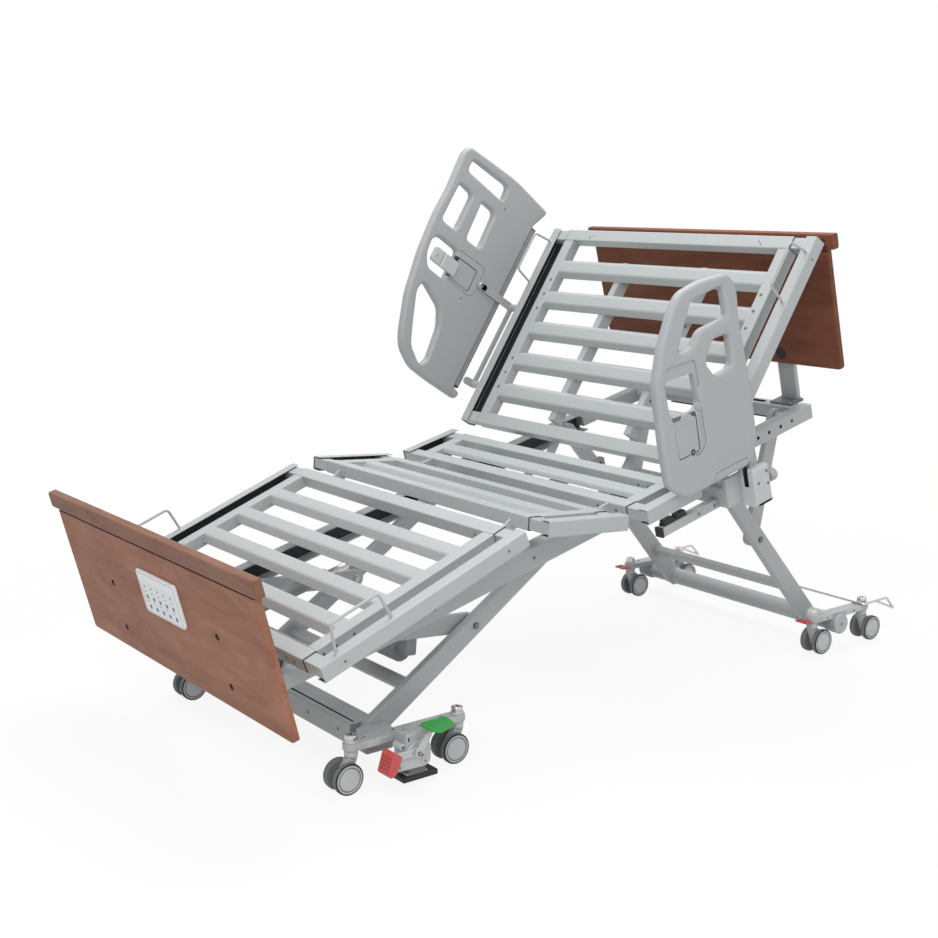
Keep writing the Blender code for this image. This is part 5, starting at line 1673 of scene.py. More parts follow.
def deck() -> None:
    """Builds the four sections of the deck and their eight wings."""
    back_extras = Shape()
    for x, t in ((-0.330, 0.680), (-0.345, 0.674), (0.345, 0.680), (0.352, 0.672)):
        back_extras.join(screw((x, t, -0.0023), UP, 0.0042, "zinc", 0.0014))
    DeckSection(
        "backrest_frame", BACK, "backrest_body", 1, BACK_LONG, BACK_TUBES, BACK_SLATS,
        holes=(0.131, 0.182, 0.233, 0.413, 0.465, 0.516), extras=(back_extras,),
    ).build()
    back_carrier()
    DeckSection(
        "seat_frame", SEAT, "seat_body", 1, 0.191, SEAT_TUBES, (0.094,), 0.012, extras=(seat_carriage(),),
        front_marks=((0.349, True), (0.385, True), (0.418, False)),
    ).build()
    thigh_extras = Shape()
    for side in (1, -1):
        upper, lower = (0.0384, -0.0219), (-0.2781, -0.055)
        blank = ear(side, OUTER_EAR, (-0.024, -0.020), upper, 0.016, 0.0145)
        thigh_extras.join(carved(blank, ear_bore(side, upper)))
        thigh_extras.join(
            ear(side, INNER_EAR, (-0.2377, -0.022), lower, 0.0165, 0.0145), ear_pin(side, lower)
        )
    DeckSection(
        "thigh_frame", THIGH, "thigh_body", -1, THIGH_LONG, THIGH_TUBES, (0.130,), extras=(thigh_extras,),
    ).build()
    foot_extras = Shape()
    for side in (1, -1):
        pivot = (0.0307, -0.0550)
        blank = ear(side, OUTER_EAR, (-0.020, -0.022), pivot, 0.0165, 0.0145)
        foot_extras.join(carved(blank, ear_bore(side, pivot)))
    DeckSection(
        "foot_frame", FOOT, "foot_body", -1, FOOT_LONG, FOOT_TUBES, (0.130, 0.241, 0.353, 0.464),
        side_holes=(0.464, 0.514, 0.548), extras=(foot_extras,), front_marks=((0.378, True), (0.414, True)),
    ).build()
    for side in (1, -1):
        Wing("backrest", side, BACK, 1, BACK_LONG, BACK_TUBES, 0.048).build()
        Wing("seat", side, SEAT, 1, 0.195, SEAT_TUBES).build()
        Wing("thigh", side, THIGH, -1, THIGH_LONG, THIGH_TUBES).build()
        Wing("foot", side, FOOT, -1, FOOT_LONG, FOOT_TUBES, 0.052).build()


def back_carrier() -> None:
    """Builds the two bars under the backrest, their tie and the arcs that it tilts on."""
    shape = block((-0.160, 0.160), (0.554, 0.578), (-0.060, -0.041), "steel", 0.003, 3)
    for side in (1, -1):
        shape.join(block(across(side, 0.150, 0.174), (0.062, 0.602), (-0.065, -0.0243), "steel", 0.003, 3))
        band = arc((-0.00513, 0.05648), 0.126, 0.150, -142.7, -56.0)
        shape.join(plate([band], "X", *across(side, 0.156, 0.168), "steel", 0.001, 2))
        for t in BACK_SLATS:
            for edge in (-0.0315, 0.0315):
                shape.join(screw((side * 0.162, t + edge, -0.065), DOWN, 0.0035, "zinc", 0.0016))
        for t in (0.18, 0.30, 0.42, 0.54):
            shape.join(hole_mark((side * 0.174, t, -0.045), (side, 0, 0), 0.0055))
    piece("backrest_carrier", shape, BACK, "backrest_body", ["backrest_carrier"])


def arc(
    middle: Point2, inner: float, outer: float, start: float, end: float, steps: int = 28
) -> list[Point2]:
    """An arc band as an outline.

    Args:
        middle: Middle of the arc.
        inner: Its inner radius.
        outer: Its outer radius.
        start: Where it starts, in degrees.
        end: Where it ends, in degrees.
        steps: Segments of the arc.

    Returns:
        The outline.
    """
    turns = [math.radians(start + (end - start) * k / steps) for k in range(steps + 1)]
    far = [(middle[0] + outer * math.cos(a), middle[1] + outer * math.sin(a)) for a in turns]
    near = [(middle[0] + inner * math.cos(a), middle[1] + inner * math.sin(a)) for a in turns]
    return far + near[::-1]


def seat_carriage() -> Shape:
    """The seat's shoes on the beams, its hinge ears and the guides of the backrest's arcs.

    Returns:
        The shape, in the seat's frame.
    """
    shape = Shape()
    pivot = (-0.0293, -0.0205)
    for side in (1, -1):
        shape.join(block(across(side, 0.303, 0.353), (0.002, 0.189), (-0.0415, -0.030), "steel", 0.0015))
        shape.join(block(across(side, 0.3455, 0.353), (0.004, 0.187), (-0.0455, -0.032), "steel", 0.0015))
        shape.join(ear(side, INNER_EAR, (0.030, -0.020), pivot, 0.0165, 0.015), ear_pin(side, pivot))
        heading = math.radians(-73.5)
        for radius in (0.1197, 0.1563):
            place = (0.1919 + radius * math.cos(heading), 0.0565 + radius * math.sin(heading))
            shape.join(rod((side * 0.152, *place), (side * 0.172, *place), 0.006, "zinc"))
        cheek = [
            (0.150, -0.030), (0.179, -0.030), (0.186, -0.0440), (0.238, -0.0485), (0.244, -0.100),
            (0.226, -0.104)
        ]
        for gap in (-0.0115, 0.0065):
            shape.join(plate(
                [rounded(cheek, 0.006, 6)], "X", *across(side, 0.162 + gap, 0.162 + gap + 0.005),
                "steel", 0.0008, 2
            ))
    return shape


@dataclass
class MainFrame:
    """The pitched frame: two folded beams, their extensions, cross members and posts.

    Attributes:
        beam_s: Ends of the beams.
        frame_s: Ends of the extensions.
        beam_x: Faces of the left beam.
        beam_u: Bottom and top of the beams.
        wall: Thickness of their sheet.
    """

    beam_s: Point2 = (-0.600, 0.800)
    frame_s: Point2 = (-0.790, 1.112)
    beam_x: Point2 = (0.305, 0.345)
    beam_u: Point2 = (0.430, 0.490)
    wall: float = 0.004

    def build(self) -> None:
        """Makes the frame and the accessory rail."""
        shape = Shape()
        for side in (1, -1):
            shape.join(self._beam(side), self._extensions(side), self._posts(side))
        self._members(shape)
        piece("main_frame", shape, FRAME, "frame_body", ["main_frame"])
        self._accessory_rail()

    def _beam(self, side: int) -> Shape:
        """A folded side beam with painted shade over its web's inner face, holes and bolts.

        Args:
            side: 1 for the left, -1 for the right.

        Returns:
            The shape.
        """
        (inner, outer), (low, top), wall = self.beam_x, self.beam_u, self.wall
        outline = [
            (inner, top), (outer, top), (outer, low), (inner, low), (inner, low + wall),
            (outer - wall, low + wall), (outer - wall, top - wall), (inner, top - wall),
        ]
        radii = [0.0006, 0.0065, 0.0065, 0.0006, 0.0006, 0.0035, 0.0035, 0.0006]
        channel = mirrored(rounded(outline, radii, 5), side)
        shape = plate([channel], "Y", *self.beam_s, "steel", 0.0005, 1)
        # A thin sheet of painted shade over the web's inner face.
        shape.join(block(
            across(side, 0.3401, 0.3412), (self.beam_s[0] + 0.004, self.beam_s[1] - 0.004),
            (low + wall + 0.002, top - wall - 0.002), "shadow", 0.0
        ))
        for s in (-0.480, -0.300, 0.020, 0.700):
            shape.join(hole_mark((side * outer, s, 0.460), (side, 0, 0), 0.0050))
        for s in (-0.560, 0.745):
            shape.join(bolt((side * outer, s, 0.462), (side, 0, 0), 0.0065, 0.0045))
        return shape

    def _extensions(self, side: int) -> Shape:
        """The head and foot extension of a beam, and the pivot pins of the two links.

        Args:
            side: 1 for the left, -1 for the right.

        Returns:
            The shape.
        """
        x = across(side, 0.307, 0.3444)
        head = block(x, (0.788, self.frame_s[1]), (0.4455, 0.4894), "steel", 0.0035, 4)
        # Drilled holes, their walls in painted shade.
        drills = [
            rod((side * 0.334, s, 0.469), (side * 0.36, s, 0.469), 0.0052, "inside", 24, 0.0)
            for s in (0.874, 0.921, 0.971, 1.020)
        ]
        shape = carved(head, *drills)
        shape.join(block(x, (self.frame_s[0], -0.588), (0.449, 0.4894), "steel", 0.0035, 4))
        for s, u in ((1.0373, 0.468), (-0.511, 0.460)):
            shape.join(rod((side * 0.2485, s, u), (side * 0.343, s, u), 0.008, "zinc", 28))
            shape.join(rod((side * 0.274, s, u), (side * 0.3425, s, u), 0.014, "steel", 32, 0.001))
            shape.join(lathe(
                [(0.0078, 0.0), (0.0078, 0.0012), (0.006, 0.0018)], (side * 0.2487, s, u),
                (-side, 0, 0), "zinc", 28
            ))
        return shape

    def _posts(self, side: int) -> Shape:
        """The headboard's post and the footboard's bracket on one side, with their bolts.

        Args:
            side: 1 for the left, -1 for the right.

        Returns:
            The shape.
        """
        shape = plate(
            [rectangle(across(side, 0.224, 0.284), (0.487, 0.800), 0.006, 6)], "Y", 1.1233, 1.1383, "steel",
            0.002, 3
        )
        shape.join(block(across(side, 0.214, 0.294), (1.0805, 1.138), (0.4835, 0.4930), "steel_dark", 0.002))
        shape.join(plate(
            [rectangle(across(side, 0.250, 0.310), (0.455, 0.650), 0.006, 6)], "Y", -0.8047, -0.7997,
            "steel", 0.001, 2
        ))
        shape.join(block(across(side, 0.250, 0.310), (-0.8037, -0.760), (0.456, 0.483), "steel", 0.002))
        for u in (0.640, 0.760):
            shape.join(bolt((side * 0.254, 1.1383, u), TO_HEAD, 0.0065, 0.005))
        for u in (0.488, 0.614):
            shape.join(bolt((side * 0.280, -0.7997, u), TO_HEAD, 0.0060, 0.0045))
        for s in (1.092, 1.112):
            shape.join(screw((side * 0.284, s, 0.4930), UP, 0.0045, "zinc", 0.0012))
        return shape

    @staticmethod
    def _members(shape: Shape) -> None:
        """Adds the cross members, the arm of the accessory rail, welds and gussets.

        Args:
            shape: The frame so far.
        """
        shape.join(block((-0.3425, 0.3425), (0.232, 0.262), (0.436, 0.483), "steel", 0.0035, 3))
        head = block((-0.330, 0.330), (1.069, 1.108), (0.4475, 0.4865), "steel", 0.0035, 4)
        # The slot, its walls in painted shade.
        slot = plate([rectangle((-0.190, 0.190), (1.081, 1.095), 0.0069, 8)], "Z", 0.466, 0.500, "inside")
        shape.join(carved(head, slot))
        pad = plate(
            [rectangle((-0.200, 0.200), (1.0725, 1.1045), 0.004, 4)], "Z", 0.4420, 0.4472, "black", 0.001, 1
        )
        shape.join(pad)
        for start, end in ((-0.642, -0.604), (-0.786, -0.750)):
            shape.join(block((-0.330, 0.330), (start, end), (0.4515, 0.4865), "steel", 0.0035, 4))
        shape.join(block((0.3425, 0.489), (0.520, 0.560), (0.435, 0.451), "steel", 0.002))
        for x, s, way in ((0.330, 0.247, 1), (0.330, 1.0885, 1), (0.330, -0.623, 1), (0.330, -0.768, 1)):
            for side in (1, -1):
                for edge in (-0.0198, 0.0198):
                    shape.join(sweep(
                        [
                            (side * (x - 0.024), s + way * edge, 0.4550),
                            (side * (x - 0.024), s + way * edge, 0.4800)
                        ], 0.0018, "steel", 8
                    ))
        for side in (1, -1):
            gusset = [(0.250, 0.450), (0.300, 0.450), (0.300, 0.482)]
            shape.join(plate(
                [rounded([(side * x, u) for x, u in gusset][::side], 0.003)], "Y", -0.6060, -0.6030, "steel"
            ))

    @staticmethod
    def _accessory_rail() -> None:
        """The accessory rail with its end caps and black clips."""
        shape = plate(
            [rectangle((0.4893, 0.5150), (0.430, 0.456), 0.004, 5)], "Y", 0.309, 0.585, "steel", 0.0015, 2
        )
        shape.join(block((0.4888, 0.5155), (0.304, 0.3115), (0.4296, 0.4565), "black", 0.002))
        shape.join(block((0.4888, 0.5155), (0.5835, 0.587), (0.4296, 0.4565), "black", 0.0015))
        shape.join(block((0.4925, 0.5118), (0.318, 0.402), (0.4545, 0.4625), "black", 0.0015))
        for s in ((0.320, 0.356), (0.363, 0.400)):
            shape.join(block((0.4935, 0.5110), s, (0.4600, 0.4715), "black", 0.0028, 3))
            shape.join(
                sweep([(0.4955, sum(s) / 2, 0.4712), (0.5090, sum(s) / 2, 0.4712)], 0.0010, "black", 8)
            )
        for s in (0.440, 0.500):
            shape.join(hole_mark((0.5150, s, 0.443), TO_LEFT, 0.0042))
        piece("accessory_rail", shape, FRAME, "frame_body", ["accessory_rail"])


@dataclass
class Lift:
    """One end's lifting linkage: a strut of two plates and a link of two plates.

    Attributes:
        end: "head" or "foot".
        pin: The link's pivot on the frame.
        reach: Travel of the strut's middle along the frame from that pivot.
        half_drop: How far the middle stands below it.
        roller: Radius of the strut's rollers.
        arm: Length of the link, and half the length of the strut.
        link_x: Faces of the link's left plate.
        strut_x: Faces of the strut's left plate.
    """

    end: str
    pin: Point2
    reach: float
    half_drop: float
    roller: float
    arm: float = 0.365
    link_x: Point2 = (0.252, 0.272)
    strut_x: Point2 = (0.275, 0.300)

    def build(self) -> None:
        """Makes the link and the strut in the frame's place."""
        middle = (self.pin[0] + self.reach, self.pin[1] - self.half_drop)
        link = FRAME @ moved(0, *self.pin) @ turned(math.degrees(math.atan2(-self.half_drop, self.reach)))
        strut = FRAME @ moved(0, *middle) @ turned(math.degrees(math.atan2(self.half_drop, self.reach)))
        name = f"{self.end}_link_frame"
        piece(name, self._link(), link, f"{self.end}_link_body", [name])
        name = f"{self.end}_strut_frame"
        piece(name, self._strut(), strut, f"{self.end}_strut_body", [name])
        if self.end == "foot":
            self._motor(link)

    def _bored(self, blank: Shape, side: int, x: Point2, places: Sequence[Point2]) -> Shape:
        """A plate with its pin bores taken out.

        Args:
            blank: The plate.
            side: 1 for the left, -1 for the right.
            x: Its faces on the left side.
            places: Middles of the bores.

        Returns:
            The bored plate.
        """
        # The bores' walls take painted shade.
        bores = [
            rod((side * (x[0] - 0.004), *p), (side * (x[1] + 0.004), *p), PIN_BORE, "inside", 32, 0.0)
            for p in places
        ]
        return carved(blank, *bores)

    def _link(self) -> Shape:
        """The link: two plates, the pins to the strut's middle and a brace.

        Returns:
            The shape, in the link's frame.
        """
        shape = Shape()
        for side in (1, -1):
            outline = stadium((0, 0), (self.arm, 0), 0.022, 0.025, 20)
            blank = plate([outline], "X", *across(side, *self.link_x), "steel", 0.003, 4)
            shape.join(self._bored(blank, side, self.link_x, [(0.0, 0.0)]))
            shape.join(rod((side * 0.262, self.arm, 0), (side * 0.3008, self.arm, 0), 0.008, "zinc", 28))
            cover = [(0.0095, 0.0), (0.0095, 0.0014), (0.0085, 0.0018)]
            shape.join(lathe(cover, (side * 0.3003, self.arm, 0), (side, 0, 0), "zinc_dark", 36))
            shape.join(lathe(
                [(0.0074, 0.0), (0.0074, 0.0030), (0.0062, 0.0038)], (side * 0.3012, self.arm, 0),
                (side, 0, 0), "zinc_dark", 6
            ))
            shape.join(bolt((side * 0.252, self.arm, 0), (-side, 0, 0), 0.009, 0.005))
        shape.join(rod((-0.262, 0.250, 0), (0.262, 0.250, 0), 0.015, "steel", 36, 0.0))
        for side in (1, -1):
            shape.join(lathe(
                [(0.0185, 0.0), (0.0165, 0.0022), (0.0150, 0.0030)], (side * 0.2522, 0.250, 0),
                (-side, 0, 0), "steel", 36
            ))
        return shape

    def _strut(self) -> Shape:
        """The strut: two plates, the rollers, a brace and, at the head, the base tube.

        Returns:
            The shape, in the strut's frame.
        """
        foot = self.end == "foot"
        shape = Shape()
        for side in (1, -1):
            outline = stadium((-self.arm, 0), (self.arm, 0), 0.028, 0.021, 20)
            blank = plate([outline], "X", *across(side, *self.strut_x), "steel", 0.0035, 4)
            places = [(0.0, 0.0)] + ([(-self.arm, 0.0)] if foot else [])
            shape.join(self._bored(blank, side, self.strut_x, places))
            shape.join(rod((side * 0.290, self.arm, 0), (side * 0.336, self.arm, 0), 0.008, "zinc", 28))
            wheel = [
                (self.roller - 0.0022, 0.0), (self.roller, 0.0022), (self.roller, 0.0243),
                (self.roller - 0.0022, 0.0265), (0.0110, 0.0265), (0.0105, 0.0250), (0.0085, 0.0250),
            ]
            shape.join(lathe(wheel, (side * 0.309, self.arm, 0), (side, 0, 0), "hub", 44))
        bar = plate([rectangle((-0.243, -0.211), (-0.010, 0.010), 0.003)], "X", -0.280, 0.280, "steel")
        shape.join(bar)
        for side in (1, -1):
            shape.join(plate(
                [rectangle((-0.2455, -0.2085), (-0.0125, 0.0125), 0.004)], "X",
                *across(side, 0.2725, 0.2752), "steel", 0.001, 1
            ))
        if not foot:
            shape.join(rod((-0.4135, -self.arm, 0), (0.4135, -self.arm, 0), 0.026, "steel", 48, 0.001))
            for side in (1, -1):
                disc = [(0.0305, 0.0), (0.0305, 0.0062), (0.0285, 0.0085), (0.012, 0.0085)]
                shape.join(lathe(disc, (side * 0.4125, -self.arm, 0), (side, 0, 0), "steel", 48))
                shape.join(screw((side * 0.4206, -self.arm, 0), (side, 0, 0), 0.008, "zinc", 0.0004))
                shape.join(lathe(
                    [(0.0315, 0.0), (0.0290, 0.0022), (0.0262, 0.0032)], (side * 0.2745, -self.arm, 0),
                    (-side, 0, 0), "steel", 44
                ))
        return shape

    @staticmethod
    def _motor(link: Matrix) -> None:
        """The lift motor on the foot link, with its gear case and tube.

        Args:
            link: The link's place.
        """
        y, z = 0.2030, -0.0678
        turn = [
            (0.020, 0.0), (0.026, 0.0015), (0.029, 0.005), (0.029, 0.036), (0.0282, 0.037), (0.0282, 0.040),
            (0.029, 0.041), (0.029, 0.108), (0.0282, 0.109), (0.0282, 0.112), (0.029, 0.113), (0.029, 0.126),
            (0.0265, 0.130), (0.020, 0.130),
        ]
        shape = lathe(turn, (0.085, y, z), TO_LEFT, "steel_shade", 48)
        for a in range(0, 360, 60):
            c, s = math.cos(math.radians(a + 20)), math.sin(math.radians(a + 20))
            shape.join(screw((0.0856, y + 0.021 * c, z + 0.021 * s), (-1, 0, 0), 0.0028, "zinc", 0.0018))
        shape.join(block((0.205, 0.2517), (0.188, 0.222), (-0.072, 0.010), "steel_shade", 0.004, 3))
        shape.join(rod((0.1425, 0.2030, -0.0678), (0.1425, 0.060, -0.036), 0.013, "steel_dark", 32))
        shape.join(rod((0.1425, 0.090, -0.0427), (0.1425, 0.082, -0.0409), 0.0145, "black", 32))
        piece("foot_lift_motor", shape, link, "foot_link_body", ["foot_lift_motor"])


# Axles, stems and arm plates of the two bases, over the floor.
HEAD_AXLE = (1.0501, 0.0798)
FOOT_AXLE = (-0.55025, 0.0899)
HEAD_STEMS = (0.9500, 1.1820)
FOOT_STEMS = (-0.6760, -0.3720)
CASTER_X = 0.390
ARM_LOW, ARM_TOP = 0.098, 0.116


def arm_plate(side: int, stems: Point2) -> Shape:
    """The thick plate that joins a pair of casters, bored for their stems.

    Args:
        side: 1 for the left, -1 for the right.
        stems: Places of the two stems.

    Returns:
        The bored plate.
    """
    x = side * CASTER_X
    outline = stadium((x, stems[0]), (x, stems[1]), 0.0200, 0.0199, 20)
    blank = plate([outline], "Z", ARM_LOW, ARM_TOP, "steel", 0.003, 4)
    # The stem bores' walls take painted shade.
    bores = [rod((x, y, ARM_LOW - 0.02), (x, y, ARM_TOP + 0.02), 0.0111, "inside", 28, 0.0) for y in stems]
    return carved(blank, *bores)


@dataclass
class Bases:
    """What stands on the casters: a tilting arm at each side of the head and a beam at the foot."""

    def build(self) -> None:
        """Makes the two head arms and the foot base."""
        for side, word in ((1, "left"), (-1, "right")):
            self._bogie(side, word)
        self._foot()

    @staticmethod
    def _bogie(side: int, word: str) -> None:
        """A tilting arm at the head end, with the ring that turns on the base tube.

        Args:
            side: 1 for the left, -1 for the right.
            word: "left" or "right".
        """
        y, z = HEAD_AXLE
        shape = arm_plate(side, HEAD_STEMS)
        ring = [circle((y, z), 0.0300, 56), circle((y, z), 0.0267, 56)]
        shape.join(plate(ring, "X", *across(side, 0.3760, 0.4120), "steel", 0.0008, 2))
        yoke = block(
            across(side, 0.3775, 0.4105), (y - 0.0285, y + 0.0285), (z, ARM_LOW + 0.004), "steel", 0.002
        )
        bore = rod((side * 0.36, y, z), (side * 0.43, y, z), 0.0290, "steel_shade", 48, 0.0)
        shape.join(carved(yoke, bore))
        for a, b in ((HEAD_STEMS[0] + 0.026, y - 0.034), (y + 0.034, HEAD_STEMS[1] - 0.026)):
            cover = [rectangle((a, b), (ARM_LOW + 0.0015, ARM_TOP - 0.0015), 0.004, 5)]
            shape.join(plate(cover, "X", *across(side, 0.4085, 0.4102), "post", 0.0008, 2))
            shape.join(hole_mark((side * 0.4102, (a + b) / 2, 0.107), (side, 0, 0), 0.0030))
        for y_pin in (HEAD_STEMS[0] + 0.040, HEAD_STEMS[1] - 0.040):
            shape.join(screw((side * 0.392, y_pin, ARM_TOP), UP, 0.0050, "zinc", 0.0028))
        piece(
            f"head_bogie_{word}", shape, WORLD, f"head_bogie_{word}_body",
            [f"head_bogie_{word}"]
        )

    @staticmethod
    def _foot() -> None:
        """The foot base: a slotted beam between two arms."""
        beam = block((-0.345, 0.345), (-0.605, -0.527), (0.050, 0.105), "steel", 0.005, 4)
        cuts = [
            block(across(side, 0.2735, 0.3015), (-0.64, -0.49), (0.0545, 0.13), "steel_shade", 0.0)
            for side in (1, -1)
        ]
        # The groove's faces take painted shade.
        groove = plate(
            [rectangle((-0.262, 0.262), (-0.590, -0.584), 0.0029, 6)], "Z", 0.0935, 0.120, "inside"
        )
        shape = carved(beam, *cuts, groove)
        for side in (1, -1):
            shape.join(arm_plate(side, FOOT_STEMS))
            shape.join(
                block(across(side, 0.330, 0.385), (-0.600, -0.532), (0.082, 0.1030), "steel", 0.003, 3)
            )
            shape.join(rod((side * 0.262, *FOOT_AXLE), (side * 0.314, *FOOT_AXLE), 0.008, "zinc", 28))
            shape.join(bolt((side * 0.262, *FOOT_AXLE), (-side, 0, 0), 0.0078, 0.005))
            cover = [rectangle((-0.645, -0.608), (ARM_LOW + 0.0015, ARM_TOP - 0.0015), 0.004, 5)]
            shape.join(plate(cover, "X", *across(side, 0.4085, 0.4102), "post", 0.0008, 2))
            for y in (-0.640, -0.560, -0.420):
                shape.join(screw((side * CASTER_X, y, ARM_TOP), UP, 0.0055, "zinc", 0.003))
            for y in (-0.470, -0.440):
                shape.join(hole_mark((side * 0.4100, y, 0.107), (side, 0, 0), 0.0030))
            for x in (0.318, 0.338):
                seam = [(side * x, -0.6052, 0.060), (side * x, -0.6052, 0.098)]
                shape.join(sweep(seam, 0.0008, "steel", 8))
        for x in (-0.22, -0.08, 0.08, 0.22):
            shape.join(hole_mark((x, -0.6050, 0.078), TO_FOOT, 0.0050))
        piece("foot_base", shape, WORLD, "foot_base_body", ["foot_base"])


@dataclass
class Caster:
    """A twin-wheel caster on its stem.

    Attributes:
        name: First words of its nodes.
        side: 1 for the left, -1 for the right.
        stem_y: Place of the stem.
        toward: 1 where it trails to the head, -1 to the foot.
        trail: How far the axle stands from the stem.
        radius: Radius of the wheels.
        inner: Where a wheel starts to each side of the leg's middle.
        wide: Width of a wheel.
    """

    name: str
    side: int
    stem_y: float
    toward: int
    trail: float = 0.022
    radius: float = 0.038
    inner: float = 0.0122
    wide: float = 0.0178

    def build(self) -> None:
        """Makes the fork, then the wheels on their axle."""
        place = WORLD @ moved(self.side * CASTER_X, self.stem_y, 0)
        axle = (self.toward * self.trail, self.radius)
        self._fork(place, axle)
        self._wheels(place @ moved(0, *axle))

    def _fork(self, place: Matrix, axle: Point2) -> None:
        """The leg with its stem, collar and cap.

        Args:
            place: The stem's foot on the floor.
            axle: The axle from there, as (y, z).
        """
        leg = stadium(axle, (0, 0.080), 0.015, 0.0105, 16)
        blank = plate([leg], "X", -0.0117, 0.0117, "steel", 0.002, 3)
        # The axle bore's walls take painted shade.
        shape = carved(blank, rod((-0.03, *axle), (0.03, *axle), 0.0062, "inside", 24, 0.0))
        shape.join(rod((0, 0, 0.074), (0, 0, 0.120), 0.0105, "zinc", 32))
        collar = [
            (0.0125, 0.0), (0.0158, 0.0012), (0.0160, 0.0060), (0.0148, 0.0070), (0.0148, 0.0090),
            (0.0160, 0.0100), (0.0160, 0.0136), (0.0145, 0.0147)
        ]
        shape.join(lathe(collar, (0, 0, 0.083), UP, "post", 40))
        hood = [(0.0090, 0.0), (0.0135, 0.004), (0.0158, 0.010)]
        shape.join(lathe(hood, (0, 0, 0.0735), UP, "steel", 40))
        base = ARM_TOP + 0.0003
        skirt = [(0.0165, 0.0), (0.0165, 0.0040), (0.0157, 0.0052)]
        shape.join(lathe(skirt, (0, 0, base), UP, "post", 40))
        cap = [
            (0.0152, 0.0046), (0.0152, 0.0072), (0.0138, 0.0078), (0.0138, 0.0096), (0.0146, 0.0102),
            (0.0146, 0.0158), (0.0136, 0.0176), (0.0110, 0.0186), (0.0052, 0.0187)
        ]
        shape.join(lathe(cap, (0, 0, base), UP, "chrome", 40))
        # A disc of painted shade for the cap's socket.
        shape.join(lathe([(0.0045, 0.0), (0.0040, 0.00015)], (0, 0, base + 0.0187), UP, "inside", 6))
        piece(
            f"{self.name}_fork", shape, place, f"{self.name}_fork_body", [f"{self.name}_fork"]
        )

    def _wheels(self, place: Matrix) -> None:
        """The two wheels on their axle, each with tyre, wall, disc and hub cap.

        Args:
            place: The axle's middle.
        """
        r, inner, wide = self.radius, self.inner, self.wide
        shape = rod((-0.0150, 0, 0), (0.0150, 0, 0), 0.0058, "zinc", 24)
        for way in (1, -1):
            tyre = [
                (r - 0.0095, 0.0006), (r - 0.0035, 0.0), (r - 0.0010, 0.0016), (r, 0.0048),
                (r, wide - 0.0058), (r - 0.0006, wide - 0.0030), (r - 0.0018, wide - 0.0010),
                (r - 0.0030, wide - 0.0002), (r - 0.0042, wide - 0.0014),
            ]
            start = (way * inner, 0, 0)
            shape.join(lathe(tyre, start, (way, 0, 0), "tyre", 64))
            wall = [
                (r - 0.0004, wide - 0.0040), (r - 0.0003, wide - 0.0028), (r - 0.0016, wide - 0.0008),
                (r - 0.0029, wide), (r - 0.0040, wide - 0.0010), (r - 0.0042, wide - 0.0020),
            ]
            shape.join(lathe(wall, start, (way, 0, 0), "black", 64))
            disc = [
                (r - 0.0042, wide - 0.0040), (r - 0.0044, wide - 0.0012), (r - 0.0058, wide - 0.0002),
                (r - 0.0076, wide - 0.0002), (r - 0.0084, wide - 0.0016), (0.0200, wide - 0.0010),
                (0.0090, wide - 0.0004), (0.0082, wide), (0.0060, wide), (0.0054, wide - 0.0006),
            ]
            shape.join(lathe(disc, start, (way, 0, 0), "hub", 64))
            shape.join(lathe(
                [(0.0053, 0.0), (0.0046, 0.0006), (0.0020, 0.0009)],
                (way * (inner + wide - 0.0009), 0, 0), (way, 0, 0), "hub", 32
            ))
            back = [(r - 0.0090, 0.0), (r - 0.0095, 0.0012), (0.0100, 0.0020)]
            shape.join(lathe(back[::-1], start, (way, 0, 0), "tyre", 48))
        piece(
            f"{self.name}_wheels", shape, place, f"{self.name}_wheels_body",
            [f"{self.name}_wheels"], 40.0
        )


